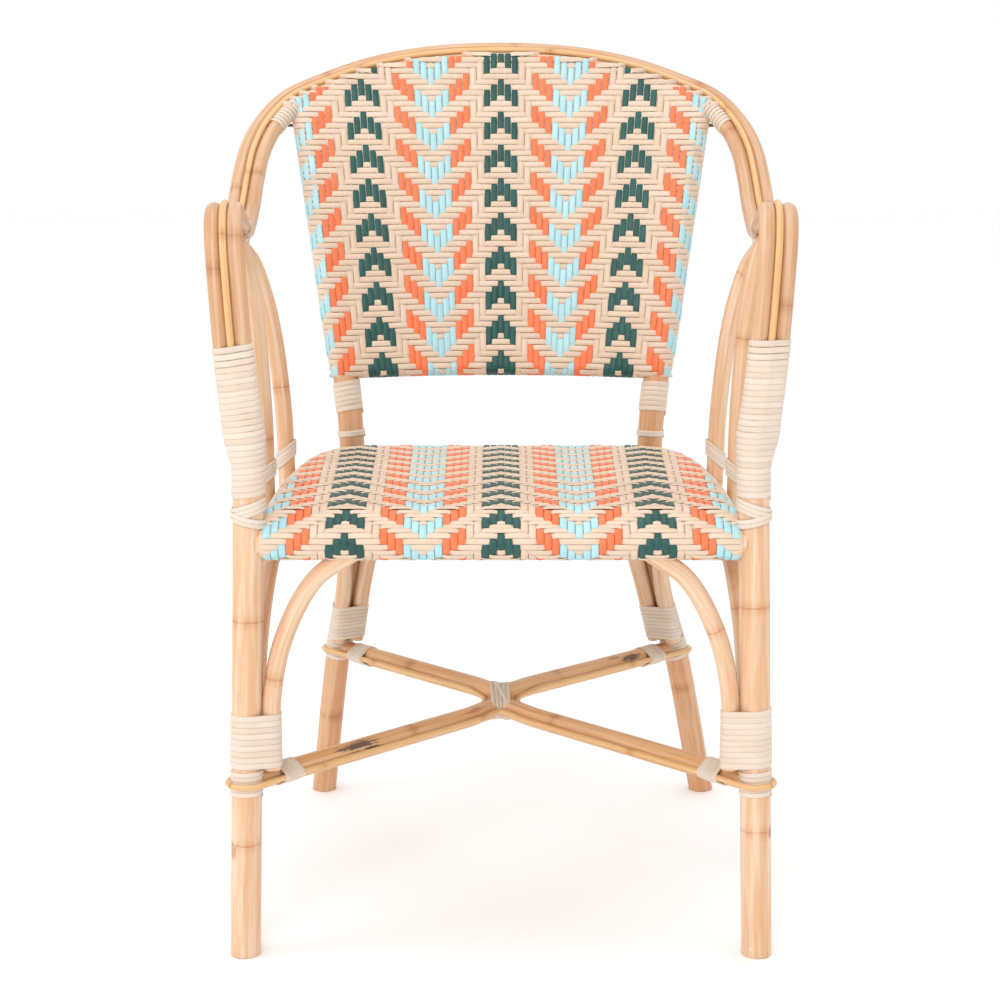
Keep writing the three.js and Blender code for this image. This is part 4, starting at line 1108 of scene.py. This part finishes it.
def loop_round(bm, poles, place, axis, high_side, rise, shift, width, thickness, start):
    """One closed loop of peel in a tilted plane, high on one side of the poles."""
    ring = bundle_ring(poles, place, axis, 0.0003 + start * 0.0001)
    middle = sum(ring, Vector()) / len(ring)
    reach = max((corner - middle).dot(high_side) for corner in ring)
    tilted = [
        corner + axis * (shift + rise * (corner - middle).dot(high_side) / reach) for corner in ring
    ]
    line = tilted + tilted[:2]
    lay(bm, line, outward_from(line, axis), peel_section(width, thickness), start)


def finish_binding(bm, name, node, hand):
    finish_piece(bm, f"{name}_{hand}", peel_finish, "peel", f"{node}_{hand}")


for hand, side, top_height, turns in (("left", -1, 0.5932, 25), ("right", 1, 0.5990, 26)):
    bm = bmesh.new()
    wind(
        bm, [f"front_leg_{hand}", "hoop_outer_cane", "hoop_inner_cane", "hoop_binder_cane"],
        Vector((side * 0.236, -0.2715, 0.4522)), Vector((side * 0.244, -0.2732, top_height)),
        turns, 0.0059, 0.0012, 0.012,
    )
    finish_binding(bm, "arm_post_binding", "arm_post_wrap", hand)


# Low leg bindings: peel round each leg and the feet of its two braces.
for hand, side, top_height, turns in (("left", -1, 0.2422, 9), ("right", 1, 0.2465, 10)):
    bm = bmesh.new()
    wind(
        bm, [f"front_leg_{hand}", f"front_brace_{hand}", f"front_side_brace_{hand}"],
        Vector((side * 0.236, -0.264, 0.1897)), Vector((side * 0.234, -0.264, top_height)),
        turns, 0.0061, 0.0012,
    )
    finish_binding(bm, "front_leg_binding", "front_leg_wrap", hand)
    rear_low = place_at(pole_lines[f"rear_leg_{hand}"], 0.2042)
    rear_high = Vector((rear_low.x, rear_low.y, 0.2436))
    bm = bmesh.new()
    wind(
        bm, [f"rear_leg_{hand}", f"rear_brace_{hand}", f"rear_side_brace_{hand}"],
        rear_low, rear_high, 9, 0.0046, 0.0011,
    )
    finish_binding(bm, "rear_leg_binding", "rear_leg_wrap", hand)


# Stile bindings: peel just below the woven back, and two turns where the side pole leaves the
# seat.
for hand, side in SIDES:
    rear_leg = pole_lines[f"rear_leg_{hand}"]
    for place, low, high, turns, width, node in (
        ("under_back", 0.4720, 0.5045, 6, 0.0058, "stile_wrap"),
        ("at_seat", 0.4456, 0.4512, 2, 0.0040, "stile_knot"),
    ):
        bm = bmesh.new()
        wind(
            bm, [f"rear_leg_{hand}"], place_at(rear_leg, low), place_at(rear_leg, high),
            turns, width, 0.0014,
        )
        finish_binding(bm, f"stile_binding_{place}", node, hand)


# Seat corner knots: flat strips that go slantwise round each front leg, some rising towards the
# seat and some falling towards it, so that they cross on the outer side.
KNOT_STEP = 0.0042
for hand, side in SIDES:
    leg = f"front_leg_{hand}"
    inner = Vector((-side, 0, 0))
    bm = bmesh.new()
    for count, height, rise, drop, first in ((3, 0.442, 0.0050, 0.001, 1), (2, 0.431, -0.0042, 0.0, 9)):
        place = place_at(pole_lines[leg], height)
        for i in range(count):
            shift = KNOT_STEP * (i - (count - 1) / 2) - drop
            loop_round(bm, [leg], place, UP, inner, rise, shift, 0.0043, 0.0012, first + i)
    finish_binding(bm, "seat_corner_knot", "seat_front_knot", hand)


# Arm loop knots: flat strips at the feet of each arm loop, where it stands beside the seat. They go
# round the loop alone and rise towards the seat.
for hand, side in SIDES:
    loop = f"arm_loop_{hand}"
    inner = Vector((-side, 0, 0))
    for place_name, x, y in (("front", 0.2362, -0.1257), ("rear", 0.2275, -0.0057)):
        bm = bmesh.new()
        place = Vector((side * x, y, 0.4475))
        for i in range(4):
            shift = KNOT_STEP * (i - 1.5)
            loop_round(bm, [loop], place, UP, inner, 0.0078, shift, 0.0045, 0.0013, 3 + i)
        finish_binding(bm, f"arm_loop_tie_{place_name}", f"arm_loop_knot_{place_name}", hand)


# Arm ties: a narrow strip of peel that holds each loop up against the inner cane of the arm.
for hand, side in SIDES:
    bm = bmesh.new()
    wind(
        bm, ["hoop_inner_cane", f"arm_loop_{hand}"],
        Vector((side * 0.258, -0.0925, 0.684)), Vector((side * 0.258, -0.0862, 0.684)),
        2, 0.0032, 0.0012,
    )
    finish_binding(bm, "arm_strap", "arm_tie", hand)


# Hoop corner bindings: peel round the inner cane alone, where the side poles meet it.
for hand, side in SIDES:
    inner_line = [p for p in pole_lines["hoop_inner_cane"] if p.x * side > 0.15 and p.z > 0.72]
    bm = bmesh.new()
    wind(
        bm, ["hoop_inner_cane"], place_at(inner_line, 0.7850), place_at(inner_line, 0.8080),
        8, 0.0042, 0.0013,
    )
    finish_binding(bm, "hoop_corner_binding", "hoop_corner_wrap", hand)


# Stretcher bindings: peel round each end of a stretcher with its thin canes, round the leg above
# and below them, and round both stretchers where they touch in the middle.
def along_line(line, reach):
    """The place and direction a certain way along a line."""
    gone = 0.0
    for here, there in zip(line, line[1:]):
        step = (there - here).length
        if gone + step > reach:
            return here.lerp(there, (reach - gone) / step), (there - here).normalized()
        gone += step
    return line[-1], (line[-1] - line[-2]).normalized()


for row_name, low, high in (("front", 0.1622, 0.1866), ("rear", 0.1762, 0.2005)):
    for hand, side in SIDES:
        stretcher = f"stretcher_{row_name}"
        place, way = along_line(pole_lines[stretcher][::-side], 0.046)
        poles = [stretcher, f"stretcher_cane_{row_name}", f"stretcher_cane_{hand}"]
        bm = bmesh.new()
        wind(bm, poles, place - way * 0.0118, place + way * 0.0118, 7, 0.0040, 0.0012)
        leg = f"{row_name}_leg_{hand}"
        foot, top = place_at(pole_lines[leg], low), place_at(pole_lines[leg], high)
        wind(bm, [leg], foot, top, 5, 0.0050, 0.0010)
        finish_binding(bm, f"stretcher_binding_{row_name}", f"stretcher_wrap_{row_name}", hand)

bm = bmesh.new()
centre = Vector((0, -0.0187, 0.1805))
both_stretchers = ["stretcher_front", "stretcher_rear"]
half_width = Vector((0.0105, 0, 0))
wind(bm, both_stretchers, centre - half_width, centre + half_width, 5, 0.0042, 0.0013)
lean = Vector((0.93, 0.36, 0))
wind(bm, both_stretchers, centre - lean * 0.002, centre + lean * 0.002, 1, 0.0040, 0.0024)
finish_piece(bm, "stretcher_cross_binding", peel_finish, "peel", "stretcher_centre_wrap")


# Floor: plain and pale, under the feet. Light: a white room, with broad soft boxes in front, at the
# left and above for a little shape.
bm = bmesh.new()
bmesh.ops.create_grid(bm, x_segments=1, y_segments=1, size=14.0)
floor_mesh = bpy.data.meshes.new("floor")
bm.to_mesh(floor_mesh)
bm.free()
floor_finish, floor_surface, floor_along, floor_across = new_material("floor_paint")
floor_coordinates = floor_along.node("ShaderNodeTexCoord", None, None, output=3)
floor_grain = floor_along.noise(floor_coordinates, 6.0, 2.0)
connect(floor_surface, Base_Color=floor_grain.towards(paint(254, 254, 254), paint(255, 255, 255)))
floor_surface.inputs["Roughness"].default_value = 0.9
floor_mesh.materials.append(floor_finish)
add_object("floor", floor_mesh)


def soft_box(name, place, aim, size, power):
    light = bpy.data.lights.new(name, "AREA")
    light.shape = "RECTANGLE"
    light.size, light.size_y = size
    light.energy = power
    lamp = add_object(name, light)
    lamp.location = place
    lamp.rotation_euler = (Vector(aim) - Vector(place)).to_track_quat("-Z", "Y").to_euler()


soft_box("front_box", (-0.7, -3.2, 2.4), (0, 0, 0.4), (1.6, 1.4), 34)
soft_box("left_box", (-2.6, -0.9, 1.6), (0, 0, 0.45), (1.2, 1.6), 13)
soft_box("top_box", (0, 0.2, 3.2), (0, 0, 0.5), (2.0, 2.0), 16)
room = bpy.data.worlds.new("room")
room.use_nodes = True
room.node_tree.nodes["Background"].inputs["Color"].default_value = (1, 1, 1, 1)
room.node_tree.nodes["Background"].inputs["Strength"].default_value = 1.0
bpy.context.scene.world = room
bpy.context.scene.view_settings.view_transform = "Standard"
bpy.context.scene.view_settings.look = "None"

# Camera: a long lens a little under the height of the hoop, level across and tipped down.
lens = bpy.data.cameras.new("camera")
lens.sensor_width = 36.0
lens.lens = 74.12
lens.clip_end = 60.0
camera = add_object("camera", lens)
camera.location = (-0.001, -2.1537, 0.815)
camera.rotation_euler = (radians(90 - 10.99), 0, 0)
bpy.context.scene.camera = camera
